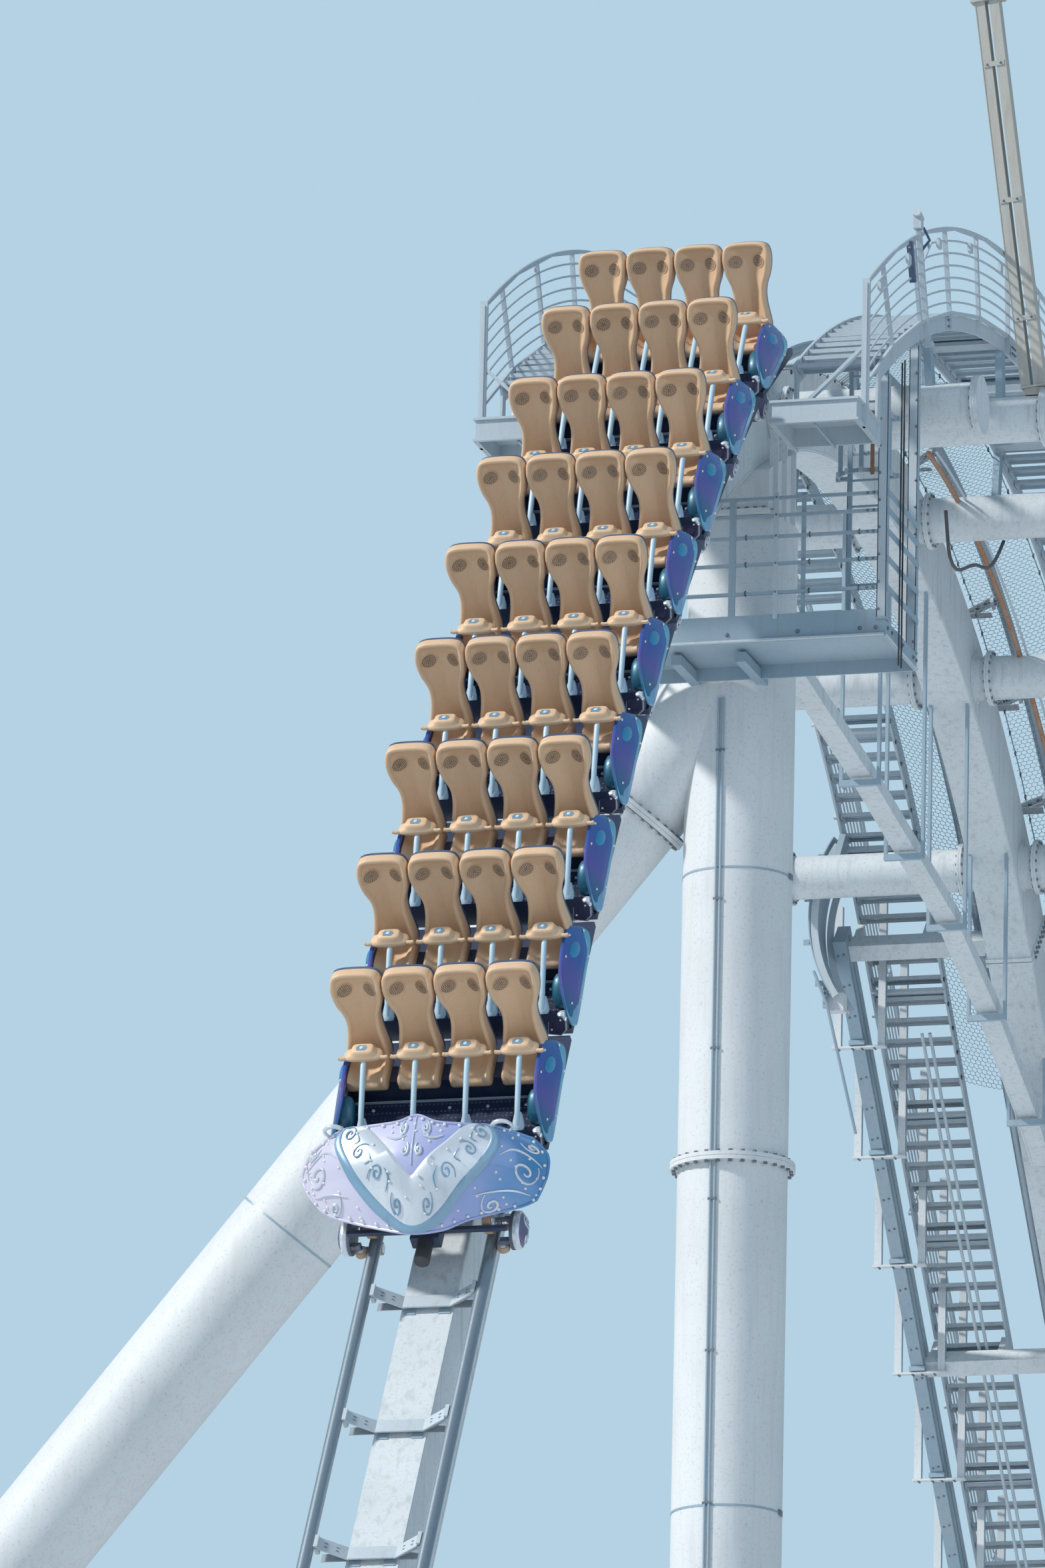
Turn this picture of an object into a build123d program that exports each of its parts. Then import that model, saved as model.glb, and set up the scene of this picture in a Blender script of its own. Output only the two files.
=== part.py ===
# The top of a steel roller coaster with its train, as a 1:2 scale model of the real ride.
# Millimetres, +Z up, +X to the riders' left. The train comes up the lift from +Y and runs down the
# drop towards -Y. The origin is the centre of the main column's foot, at ground level.

import os
from math import asin, cos, degrees, hypot, radians, sin

from build123d import *

# Track line, measured at the rails' centres
apex_height = 21950.0
apex_offset = 2412.0
crest_radius = 6578.0
lift_angle = 45.0
crest_angle = 43.4
drop_radius = 17700.0
drop_angle = 59.0
lift_length = 9000.0
drop_length = 9300.0

# Rails, spine and ties
rail_gauge = 610.0
rail_diameter = 66.0
spine_width = 270.0
spine_depth = 475.0
spine_drop = 115.0
tie_spacing = 845.0
first_tie = 11714.0
tie_thickness = 44.0
tie_rise = 12.0
tie_web = 34.0
rail_sides = 8
tube_sides = 12
column_sides = 24
wheel_sides = 12
hub_sides = 8
seat_gap = 0.3
angle_grain = 0.001
splice_angle = 0.015

# Column, brace leg and the two end supports
column_diameter = 610.0
column_flange_height = 16790.0
lower_flange_height = 8200.0
flange_diameter = 694.0
flange_thickness = 22.0
foot_diameter = 980.0
foot_thickness = 45.0
column_top = 20450.0
head_width = 440.0
leg_angle = 39.6
leg_meets = 19610.0
leg_flange_distance = 955.0
support_diameter = 406.0
support_spread = 11.0
front_support_distance = 17900.0
rear_support_distance = -11900.0
support_head_depth = 260.0

# Cross tubes that carry the catwalks
cross_tube_diameter = 264.0
cross_tube_reach = 1345.0
cross_tube_depth = 365.0
blind_flange_diameter = 335.0
blind_flange_thickness = 26.0
cross_tube_angles = (-22.0, -6.0, 10.0, 25.7, 40.0)

# Catwalks and lift stairs
catwalk_inner = 600.0
catwalk_outer = 1075.0
catwalk_rise = 125.0
stringer_depth = 85.0
stringer_thickness = 14.0
stringer_bay = 3.2
catwalk_front_angle = -33.5
catwalk_splice = 2.0
bearer_going = 900.0
bearer_phase = 0.35
tread_width = 120.0
tread_thickness = 22.0
landing_front = -1750.0
landing_top = 20650.0
landing_depth = 130.0
railing_end = -1600.0
railing_height = 499.0
railing_bar = 18.0
railing_bay = 12.6
bracket_plate = 40.0
stair_beam_width = 80.0
stair_beam_depth = 190.0
stair_beam_drop = 165.0
stair_arm_depth = 120.0
stair_arm_width = 110.0
stair_arm_spacing = 3050.0

# Guard plate outside the stair on the riders' right
guard_chord = 1000.0
guard_bulge = 150.0
guard_width = 420.0
guard_thickness = 8.0
guard_place = 6780.0

# Chain return trough under the spine
trough_width = 130.0
trough_depth = 90.0
trough_wall = 10.0
trough_rise = 0.108
trough_line = ((1260.0, 19925.0), (2790.0, 19760.0), (4990.0, 19445.0), (6060.0, 19150.0))
trough_finish = ((7155.0, 18755.0), (7590.0, 18545.0))
hanger_places = (2790.0, 3900.0, 4990.0, 6060.0, 7155.0)
hanger_reach = 112.0
hanger_bar = 36.0

# Service platform beside the column
platform_left = -650.0
platform_right = 1093.0
platform_front = -1100.0
platform_back = -360.0
platform_height = 19575.0
platform_frame = 95.0
platform_edge = 14.0
deck_thickness = 20.0
platform_rail_heights = (185.0, 350.0, 505.0, 625.0, 725.0)
platform_post = 50.0
toe_board = 60.0
ladder_place = 900.0
ladder_width = 200.0
ladder_row = -760.0
ladder_bar = 22.0
rung_spacing = 150.0
hoop_radius = 170.0
hoop_heights = (900.0, 1230.0)

# Mast and lightning rod on the end of a cross tube
mast_lean = 6.1
mast_length = 2310.0
mast_width = 140.0
mast_depth = 90.0
mast_slot = 26.0
mast_plate = 12.0
mast_top_plate = 190.0
rod_length = 490.0
rod_diameter = 24.0

# Train; each car's own frame lies at its axle: y runs back up the track, z square to the rails
row_pitch = 816.5
row_count = 9
first_row = 10532.0
seat_spacing = 272.0
seat_top = 844.0
seat_front = 146.0
seat_pan_height = 350.0
seat_recline = 12.4
seat_wall = 36.0
seat_wing = 12.0
seat_waist = 93.0
seat_shoulder = 125.0
seat_pan_length = 225.0
seat_pan_width = 186.0
wing_depth = 84.0
bench_width = 1000.0
bench_depth = 110.0
car_front = -385.0
car_back = 385.0
car_half_width = 552.0
deck_top = 186.0
deck_plate = 36.0
backbone_width = 150.0
backbone_depth = 74.0
toe_plate = 20.0
toe_rise = 110.0
arch_gap = 10.0
lead_beam = 24.0
lead_beam_place = 90.0
lead_deck_front = 260.0
panel_notch = 150.0
panel_slope = 110.0
panel_front = -370.0
panel_back = 355.0
panel_low = 75.0
panel_high = 425.0
panel_place = 566.0
panel_thickness = 20.0
road_wheel_diameter = 142.0
road_wheel_width = 46.0
small_wheel_diameter = 70.0
small_wheel_width = 34.0
wheel_gap = 0.5
bogie_length = 210.0
bogie_plate = 16.0
bogie_place = 415.0
axle_diameter = 30.0
hinge_place = -335.0
hinge_height = 232.0
lug_thickness = 12.0
lug_width = 50.0
pad_place = 33.0
pad_height = 468.0
pad_width = 96.0
pad_length = 100.0
pad_thickness = 34.0
stem_width = 32.0
handle_reach = 112.0
handle_bar = 24.0
handle_place = -22.0
hub_diameter = 44.0
hub_width = 44.0
hinge_clearance = 0.5
nose_half_width = 636.0
nose_back = 240.0
nose_tip = -285.0
nose_low = 150.0
nose_high = 600.0
nose_shell = 24.0
nose_tip_rise = 60.0
nose_taper = 0.42
bumper_place = -150.0
bumper_diameter = 82.0
bumper_length = 130.0

# Lengths of the curved stretches, and the track's own geometry
lift_arc = crest_radius * radians(lift_angle)
crest_arc = crest_radius * radians(crest_angle)
drop_arc = drop_radius * radians(drop_angle - crest_angle)
track_start = -lift_arc - lift_length
track_finish = crest_arc + drop_arc + drop_length
crest_centre = apex_height - crest_radius
rail_place = rail_gauge / 2
spine_bottom = spine_drop + spine_depth


def track_slope(distance):
    """Slope in degrees at a distance past the apex; it is negative on the lift side."""
    if distance < -lift_arc:
        return -lift_angle
    if distance <= crest_arc:
        return degrees(distance / crest_radius)
    if distance <= crest_arc + drop_arc:
        return crest_angle + degrees((distance - crest_arc) / drop_radius)
    return drop_angle


def track_point(distance, height=0.0):
    """(y, z) at a distance past the apex and a height above the rails, square to the track."""
    slope = radians(track_slope(distance))
    if distance < -lift_arc:
        y = apex_offset - crest_radius * sin(slope)
        z = crest_centre + crest_radius * cos(slope)
        y += (-lift_arc - distance) * cos(slope)
        z += (-lift_arc - distance) * sin(slope)
    elif distance <= crest_arc:
        y = apex_offset - crest_radius * sin(slope)
        z = crest_centre + crest_radius * cos(slope)
    else:
        turn = radians(crest_angle)
        y = apex_offset - crest_radius * sin(turn) + drop_radius * (sin(turn) - sin(slope))
        z = crest_centre + crest_radius * cos(turn) - drop_radius * (cos(turn) - cos(slope))
        past = max(0.0, distance - crest_arc - drop_arc)
        y -= past * cos(slope)
        z -= past * sin(slope)
    return (y - height * sin(slope), z + height * cos(slope))


def track_plane(distance):
    """Plane of the rails at a distance: X across, Y back up the track, Z square to the rails."""
    y, z = track_point(distance)
    slope = radians(track_slope(distance))
    return Plane(origin=(0, y, z), x_dir=(1, 0, 0), z_dir=(0, -sin(slope), cos(slope)))


def cross_plane(distance):
    """Plane square to the track at a distance: X across, Y square to the rails."""
    y, z = track_point(distance)
    slope = radians(track_slope(distance))
    return Plane(origin=(0, y, z), x_dir=(1, 0, 0), z_dir=(0, -cos(slope), -sin(slope)))


def band(first, last, low, high):
    """Flat face (y, z) between two distances and two heights, on one arc or straight."""
    middle = (first + last) / 2
    straight = abs(track_slope(first) - track_slope(last)) < angle_grain
    with BuildSketch(Plane.XY) as strip:
        with BuildLine():
            for height in (high, low):
                ends = [track_point(first, height), track_point(last, height)]
                if straight:
                    Line(*ends)
                else:
                    ThreePointArc(ends[0], track_point(middle, height), ends[1])
            Line(track_point(first, low), track_point(first, high))
            Line(track_point(last, low), track_point(last, high))
        make_face()
    return strip.sketch


def crest_distance(angle):
    """Distance past the apex at an angle round the crest, positive on the lift side."""
    return -crest_radius * radians(angle)


def tube_between(start, finish, diameter):
    """Faceted tube between two points, as a part of its own."""
    direction = Vector(*finish) - Vector(*start)
    with BuildPart() as tube:
        with BuildSketch(Plane(origin=start, z_dir=direction)):
            RegularPolygon(diameter / 2, tube_sides)
        extrude(amount=direction.length)
    return tube.part


def bar_between(start, finish, width, depth):
    """Square bar between two points, with its width along X where it can be."""
    direction = Vector(*finish) - Vector(*start)
    across = Vector(1, 0, 0) if abs(direction.X) < 0.9 * direction.length else Vector(0, 1, 0)
    across = across - direction.normalized() * across.dot(direction.normalized())
    with BuildPart() as bar:
        with BuildSketch(Plane(origin=start, x_dir=across, z_dir=direction)):
            Rectangle(width, depth)
        extrude(amount=direction.length)
    return bar.part


def write(name, builder):
    """Labels a finished piece and writes it under its own name."""
    builder.part.label = name
    export_step(builder.part, "parts/" + name + ".step")


os.makedirs("parts", exist_ok=True)

# Spine: a welded box girder in three bolted lengths
spine_stretches = {
    "lift_spine": [(track_start, -lift_arc)],
    "crest_spine": [(-lift_arc, crest_arc)],
    "drop_spine": [(crest_arc, crest_arc + drop_arc), (crest_arc + drop_arc, track_finish)],
}
for spine_name, stretches in spine_stretches.items():
    with BuildPart() as spine:
        for stretch_start, stretch_end in stretches:
            with BuildSketch(Plane.YZ):
                add(band(stretch_start, stretch_end, -spine_bottom, -spine_drop))
            extrude(amount=spine_width / 2, both=True)
    write(spine_name, spine)

# Running rails
for rail_name, side in (("left_rail", 1), ("right_rail", -1)):
    place = side * rail_place
    with BuildPart() as rail:
        with BuildLine(Plane.YZ.offset(place)) as rail_line:
            Line(track_point(track_start), track_point(-lift_arc))
            ThreePointArc(track_point(-lift_arc), track_point(0), track_point(crest_arc))
            ThreePointArc(
                track_point(crest_arc),
                track_point(crest_arc + drop_arc / 2),
                track_point(crest_arc + drop_arc),
            )
            Line(track_point(crest_arc + drop_arc), track_point(track_finish))
        start_y, start_z = track_point(track_start)
        start_slope = radians(track_slope(track_start))
        with BuildSketch(
            Plane(
                origin=(place, start_y, start_z),
                x_dir=(1, 0, 0),
                z_dir=(0, -cos(start_slope), -sin(start_slope)),
            )
        ):
            RegularPolygon(rail_diameter / 2, rail_sides)
        sweep(path=rail_line.line)
    write(rail_name, rail)

# Ties: each one bows down from rail to rail over the spine
tie_end = rail_place - rail_diameter / 2 - seat_gap
with BuildPart() as tie:
    with BuildSketch(Plane.XY):
        with BuildLine():
            Polyline(
                (-tie_end, tie_rise),
                (-spine_width * 0.42, tie_web - spine_drop),
                (spine_width * 0.42, tie_web - spine_drop),
                (tie_end, tie_rise),
                (tie_end, -tie_web),
                (spine_width / 2, -spine_drop),
                (-spine_width / 2, -spine_drop),
                (-tie_end, -tie_web),
                close=True,
            )
        make_face()
    extrude(amount=tie_thickness / 2, both=True)

tie_places = []
tie_distance = first_tie
while tie_distance < track_finish - tie_thickness:
    tie_distance += tie_spacing
while tie_distance - tie_spacing > track_start + tie_thickness:
    tie_distance -= tie_spacing
    if tie_distance < track_finish - tie_thickness:
        tie_places.append(tie_distance)
tie_groups = {
    "lift_ties": [d for d in tie_places if d < -lift_arc],
    "crest_ties": [d for d in tie_places if -lift_arc <= d <= crest_arc],
    "drop_ties": [d for d in tie_places if d > crest_arc],
}
for group_name, group in tie_groups.items():
    with BuildPart() as ties:
        with Locations(*[cross_plane(d).location for d in group]):
            add(tie.part)
    write(group_name, ties)

# Main column: flanged tube lengths, with the leg's stub welded to the top length
column_radius = column_diameter / 2
with BuildPart() as column_lower:
    with BuildSketch(Plane.XY):
        RegularPolygon(foot_diameter / 2, column_sides)
    extrude(amount=foot_thickness)
    with BuildSketch(Plane.XY.offset(foot_thickness)):
        RegularPolygon(column_radius, column_sides)
    extrude(amount=column_flange_height - foot_thickness)
    for height in (lower_flange_height - flange_thickness, column_flange_height - flange_thickness):
        with BuildSketch(Plane.XY.offset(height)):
            RegularPolygon(flange_diameter / 2, column_sides)
        extrude(amount=flange_thickness)
    with BuildSketch(Plane.XY.offset(lower_flange_height)):
        RegularPolygon(flange_diameter / 2, column_sides)
    extrude(amount=flange_thickness)
write("main_column_lower", column_lower)

leg_direction = (-sin(radians(leg_angle)), 0, -cos(radians(leg_angle)))
leg_axis = Plane(origin=(0, 0, leg_meets), z_dir=leg_direction)
with BuildPart() as column_upper:
    with BuildSketch(Plane.XY.offset(column_flange_height)):
        RegularPolygon(flange_diameter / 2, column_sides)
    extrude(amount=flange_thickness)
    with BuildSketch(Plane.XY.offset(column_flange_height)):
        RegularPolygon(column_radius, column_sides)
    extrude(amount=column_top - column_flange_height)
    with BuildSketch(leg_axis):
        RegularPolygon(column_radius, column_sides)
    extrude(amount=leg_flange_distance)
    with BuildSketch(leg_axis.offset(leg_flange_distance - flange_thickness)):
        RegularPolygon(flange_diameter / 2, column_sides)
    extrude(amount=flange_thickness)
write("main_column_upper", column_upper)

leg_length = leg_meets / cos(radians(leg_angle))
leg_foot = -leg_meets * sin(radians(leg_angle)) / cos(radians(leg_angle))
leg_splice = (leg_flange_distance + leg_length) / 2
leg_ends = {
    "brace_leg_upper": (leg_flange_distance, leg_splice),
    "brace_leg_lower": (leg_splice, leg_length + column_diameter),
}
for leg_name, (leg_start, leg_end) in leg_ends.items():
    with BuildPart() as leg:
        with BuildSketch(leg_axis.offset(leg_start)):
            RegularPolygon(column_radius, column_sides)
        extrude(amount=leg_end - leg_start)
        with BuildSketch(leg_axis.offset(leg_start)):
            RegularPolygon(flange_diameter / 2, column_sides)
        extrude(amount=flange_thickness)
        if leg_name == "brace_leg_upper":
            with BuildSketch(leg_axis.offset(leg_end - flange_thickness)):
                RegularPolygon(flange_diameter / 2, column_sides)
            extrude(amount=flange_thickness)
        else:
            split(bisect_by=Plane.XY, keep=Keep.TOP)
            with BuildSketch(Plane.XY):
                with Locations((leg_foot, 0)):
                    Ellipse(foot_diameter * 0.62, foot_diameter / 2)
            extrude(amount=foot_thickness)
    write(leg_name, leg)

# Column head: the saddle box between the column's top and the spine
head_reach = column_radius


def under_spine(y):
    """Height of the spine's underside at a place along Y, over the crest and down the lift."""
    radius = crest_radius - spine_bottom
    reach = radius * sin(radians(lift_angle))
    if y - apex_offset > reach:
        foot = crest_centre + radius * cos(radians(lift_angle))
        return foot - (y - apex_offset - reach) * sin(radians(lift_angle)) / cos(
            radians(lift_angle)
        )
    return crest_centre + (radius**2 - (y - apex_offset) ** 2) ** 0.5


with BuildPart() as head:
    with BuildSketch(Plane.YZ):
        with BuildLine():
            Line((-head_reach, column_top), (head_reach, column_top))
            Line((head_reach, column_top), (head_reach, under_spine(head_reach)))
            ThreePointArc(
                (head_reach, under_spine(head_reach)),
                (0, under_spine(0)),
                (-head_reach, under_spine(-head_reach)),
            )
            Line((-head_reach, under_spine(-head_reach)), (-head_reach, column_top))
        make_face()
    extrude(amount=head_width / 2, both=True)
write("column_head", head)

# End supports: leaning pairs of tubes under a cap beam
support_places = {
    "front_support": front_support_distance,
    "rear_support": rear_support_distance,
}
for support_name, support_distance in support_places.items():
    cap_y, cap_z = track_point(support_distance, -spine_bottom)
    slope = radians(track_slope(support_distance))
    with BuildPart() as support:
        cap_half = support_diameter * 0.6
        cap_low = cap_z - support_head_depth - cap_half * abs(sin(slope) / cos(slope))
        slant = cap_half * sin(slope) / cos(slope)
        with BuildSketch(Plane.YZ):
            with BuildLine():
                Polyline(
                    (cap_y - cap_half, cap_low),
                    (cap_y + cap_half, cap_low),
                    (cap_y + cap_half, cap_z + slant),
                    (cap_y - cap_half, cap_z - slant),
                    close=True,
                )
            make_face()
        extrude(amount=spine_width * 0.9, both=True)
        for side in (-1, 1):
            leg_top = (side * spine_width * 0.45, cap_y, cap_low + support_head_depth / 2)
            drop = leg_top[2]
            foot_x = leg_top[0] + side * drop * sin(radians(support_spread)) / cos(
                radians(support_spread)
            )
            add(tube_between(leg_top, (foot_x, cap_y, -10), support_diameter))
            tie_height = drop * 0.45
            with BuildSketch(Plane.XY):
                with Locations((foot_x, cap_y)):
                    RegularPolygon(foot_diameter * 0.4, column_sides)
            extrude(amount=foot_thickness)
        reach = leg_top[0] + (drop - tie_height) * sin(radians(support_spread)) / cos(
            radians(support_spread)
        )
        add(
            tube_between(
                (-reach, cap_y, tie_height), (reach, cap_y, tie_height), support_diameter * 0.6
            )
        )
        split(bisect_by=Plane.XY, keep=Keep.TOP)
    write(support_name, support)

# Cross tubes, welded to the crest spine's sides and closed by blind flanges
with BuildPart() as cross_tubes:
    for angle in cross_tube_angles:
        tube_y, tube_z = track_point(crest_distance(angle), -cross_tube_depth)
        for side in (-1, 1):
            start = (side * spine_width / 2, tube_y, tube_z)
            finish = (side * cross_tube_reach, tube_y, tube_z)
            rim = (side * (cross_tube_reach - blind_flange_thickness), tube_y, tube_z)
            add(tube_between(start, finish, cross_tube_diameter))
            add(tube_between(rim, finish, blind_flange_diameter))
write("cross_tubes", cross_tubes)


def crest_point(angle, height):
    """(y, z) on the crest at an angle past the apex on the lift side, above the rails."""
    return track_point(crest_distance(angle), height)


def angle_at(y, height):
    """Angle round the crest at which a line at this height above the rails stands over y."""
    return degrees(asin((y - apex_offset) / (crest_radius + height)))


def polyline_band(points, half):
    """Flat face (y, z) along a row of points, half its depth to each side."""
    left = []
    right = []
    for number, point in enumerate(points):
        before = points[max(0, number - 1)]
        after = points[min(len(points) - 1, number + 1)]
        run = hypot(after[0] - before[0], after[1] - before[1])
        across = ((before[1] - after[1]) / run * half, (after[0] - before[0]) / run * half)
        left.append((point[0] + across[0], point[1] + across[1]))
        right.append((point[0] - across[0], point[1] - across[1]))
    with BuildSketch(Plane.XY) as strip:
        with BuildLine():
            Polyline(*left, *reversed(right), close=True)
        make_face()
    return strip.sketch


# Catwalks over the crest: bent stringers with level bearers in spliced lengths, and a front landing
catwalk_width = catwalk_outer - catwalk_inner
catwalk_middle = (catwalk_inner + catwalk_outer) / 2
stringer_low = catwalk_rise - stringer_depth
stringer_sag = crest_radius * (1 - cos(radians(stringer_bay / 2))) + seat_gap
bar_heights = (catwalk_rise + railing_height - railing_bar / 2, catwalk_rise + railing_bar)
landing_back = crest_point(catwalk_front_angle, catwalk_rise)[0]
landing_low = landing_top - landing_depth
bearer_angle = degrees(bearer_going / crest_radius)


def crest_line(front, height, bay):
    """Points along the crest from an angle to the lift, in straight bays."""
    bays = round((lift_angle - front) / bay)
    last = lift_angle - splice_angle
    angles = [front + (last - front) * step / bays for step in range(bays + 1)]
    return [crest_point(angle, height) for angle in angles]


for side_name, side in (("left", 1), ("right", -1)):
    outer_face = side * catwalk_outer
    inner_face = side * catwalk_inner
    middle = side * catwalk_middle
    with BuildPart() as catwalk:
        for face, inward in ((outer_face, -side), (inner_face, side)):
            with BuildSketch(Plane.YZ.offset(face)):
                height = (catwalk_rise + stringer_low) / 2
                line = crest_line(catwalk_front_angle, height, stringer_bay)
                add(polyline_band(line, stringer_depth / 2))
                riser = landing_back + stringer_depth
                with BuildLine():
                    Polyline(
                        (landing_back, landing_low),
                        (riser, landing_low),
                        (riser, crest_point(angle_at(riser, height), height)[1]),
                        crest_point(catwalk_front_angle, height),
                        close=True,
                    )
                make_face()
            extrude(amount=inward * stringer_thickness)
        bearer_count = int((lift_angle - catwalk_front_angle) / bearer_angle)
        for number in range(1, bearer_count + 1):
            angle = lift_angle - bearer_angle * (number - 0.5)
            with Locations((middle, *crest_point(angle, height))):
                Box(catwalk_width - stringer_thickness, tread_width, tread_thickness)
        landing_middle = (landing_front + landing_back) / 2
        landing_length = landing_back - landing_front
        with Locations((middle, landing_middle, landing_low + landing_depth / 2)):
            Box(catwalk_width, landing_length, landing_depth)
        with Locations((middle, landing_middle, landing_low + landing_depth * 0.4)):
            Box(
                catwalk_width - 2 * stringer_thickness,
                landing_length - 2 * stringer_thickness,
                landing_depth * 0.8,
                mode=Mode.SUBTRACT,
            )
        for angle in cross_tube_angles[:-1]:
            with BuildSketch(cross_plane(crest_distance(angle + catwalk_splice))):
                with Locations((middle, height)):
                    Rectangle(catwalk_width * 2, stringer_depth * 2)
            extrude(amount=seat_gap / 2, both=True, mode=Mode.SUBTRACT)
    write(side_name + "_catwalk", catwalk)

    # Railing over the crest: its top and toe rails with the posts between them
    with BuildPart() as railing:
        with BuildSketch(Plane.YZ.offset(outer_face)):
            for height in bar_heights:
                front = angle_at(railing_end, height)
                add(polyline_band(crest_line(front, height, railing_bay / 2), railing_bar / 2))
            post_angle = lift_angle - railing_bay / 2
            while post_angle > angle_at(railing_end, 0) + railing_bay / 2:
                ends = [crest_point(post_angle, height) for height in (stringer_low, bar_heights[0])]
                add(polyline_band(ends, railing_bar / 2))
                post_angle -= railing_bay
            head = crest_point(angle_at(railing_end, bar_heights[0]), bar_heights[0])[1]
            with Locations((railing_end, (landing_low + head) / 2)):
                Rectangle(railing_bar * 2, head - landing_low)
        extrude(amount=side * railing_bar)
    write(side_name + "_railing", railing)

    # Lift stair beside the straight lift, and its railing
    with BuildPart() as stair:
        for face, inward in ((outer_face, -side), (inner_face, side)):
            with BuildSketch(Plane.YZ.offset(face)):
                add(band(track_start, -lift_arc, stringer_low, catwalk_rise))
            extrude(amount=inward * stringer_thickness)
        for number in range(1, int(lift_length / bearer_going) + 1):
            distance = -lift_arc - bearer_going * (number - bearer_phase)
            with Locations((middle, *track_point(distance, (catwalk_rise + stringer_low) / 2))):
                Box(catwalk_width - stringer_thickness, tread_width, tread_thickness)
    write(side_name + "_lift_stair", stair)

    post_spacing = crest_radius * radians(railing_bay)
    with BuildPart() as stair_railing:
        with BuildSketch(Plane.YZ.offset(outer_face)):
            for height in bar_heights:
                low = height - railing_bar / 2
                add(band(track_start, -lift_arc, low, low + railing_bar))
            post_count = int(lift_length / post_spacing)
            for number in range(post_count + 1):
                distance = -lift_arc - post_spacing * (number + 0.5)
                if distance > track_start + railing_bar:
                    ends = [track_point(distance, stringer_low), track_point(distance, bar_heights[0])]
                    add(polyline_band(ends, railing_bar / 2))
        extrude(amount=side * railing_bar)
    write(side_name + "_stair_railing", stair_railing)

# Box beams outside the lift stairs, and the arms that carry them from the spine
beam_inner = catwalk_outer + railing_bar + seat_gap
for side_name, side in (("left", 1), ("right", -1)):
    with BuildPart() as stair_beam:
        with BuildSketch(Plane.YZ.offset(side * beam_inner)):
            beam_low = -stair_beam_drop - stair_beam_depth / 2
            add(band(track_start, -lift_arc, beam_low, beam_low + stair_beam_depth))
        extrude(amount=side * stair_beam_width)
    write(side_name + "_stair_beam", stair_beam)

arm_high = -stair_beam_drop + stair_arm_depth / 2
with BuildPart() as arm:
    for side in (-1, 1):
        with BuildSketch(Plane.XY):
            with Locations((side * (spine_width / 2 + beam_inner) / 2, -stair_beam_drop)):
                Rectangle(beam_inner - spine_width / 2, stair_arm_depth)
            for place in (catwalk_inner + bracket_plate / 2, catwalk_outer - bracket_plate / 2):
                with Locations((side * place, (arm_high + stringer_low) / 2)):
                    Rectangle(bracket_plate, stringer_low - arm_high - seat_gap)
        extrude(amount=stair_arm_width / 2, both=True)
arm_places = []
arm_distance = -lift_arc - stair_arm_width
while arm_distance > track_start + stair_arm_width:
    arm_places.append(arm_distance)
    arm_distance -= stair_arm_spacing
with BuildPart() as stair_arms:
    with Locations(*[cross_plane(distance).location for distance in arm_places]):
        add(arm.part)
write("stair_arms", stair_arms)

# Brackets that carry the catwalks on the cross tubes
with BuildPart() as brackets:
    for angle in cross_tube_angles:
        plane = cross_plane(crest_distance(angle))
        for side in (-1, 1):
            for place in (catwalk_inner + bracket_plate / 2, catwalk_outer - bracket_plate / 2):
                with BuildSketch(plane):
                    low = -cross_tube_depth
                    high = stringer_low - stringer_sag
                    with Locations((side * place, (high + low) / 2)):
                        Rectangle(bracket_plate, high - low)
                extrude(amount=bracket_plate, both=True)
        tube_y, tube_z = track_point(crest_distance(angle), -cross_tube_depth)
        with BuildSketch(Plane.YZ):
            with Locations((tube_y, tube_z)):
                Circle(cross_tube_diameter / 2 + seat_gap)
        extrude(amount=cross_tube_reach, both=True, mode=Mode.SUBTRACT)
write("catwalk_brackets", brackets)

# Guard plate: a bowed sheet that hangs outside the top of the right-hand stair
guard_y, guard_top = crest_point(angle_at(guard_place, stringer_low), stringer_low)
guard_edge = -catwalk_outer - railing_bar - seat_gap
with BuildPart() as guard:
    with BuildSketch(Plane.XZ.offset(-guard_place)):
        with BuildLine():
            for inset in (0, guard_thickness):
                ThreePointArc(
                    (guard_edge - inset, guard_top + stringer_depth),
                    (guard_edge - guard_bulge - inset, guard_top + stringer_depth - guard_chord / 2),
                    (guard_edge - inset, guard_top + stringer_depth - guard_chord),
                )
            for end in (guard_top + stringer_depth, guard_top + stringer_depth - guard_chord):
                Line((guard_edge, end), (guard_edge - guard_thickness, end))
        make_face()
    extrude(amount=guard_width / 2, both=True)
write("stair_guard", guard)

# Return trough: an open channel from the column to the lift, on hangers under the spine
trough_first = column_radius + seat_gap * 3
first_y, first_z = trough_line[0]
trough_start = (trough_first, first_z + (first_y - trough_first) * trough_rise)
trough_points = [trough_start, *trough_line, *trough_finish]
base_line = [(y, z + trough_wall / 2) for y, z in trough_points]
wall_line = [(y, z + trough_depth / 2) for y, z in trough_points]
with BuildPart() as trough:
    with BuildSketch(Plane.YZ):
        add(polyline_band(base_line, trough_wall / 2))
    extrude(amount=trough_width / 2, both=True)
    for side in (-1, 1):
        with BuildSketch(Plane.YZ.offset(side * trough_width / 2)):
            add(polyline_band(wall_line, trough_depth / 2))
        extrude(amount=-side * trough_wall)
write("return_trough", trough)


def line_height(points, y):
    """Height of a bent line at a place along Y."""
    for before, after in zip(points, points[1:]):
        if before[0] <= y <= after[0]:
            share = (y - before[0]) / (after[0] - before[0])
            return before[1] + share * (after[1] - before[1])
    return points[-1][1]


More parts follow.
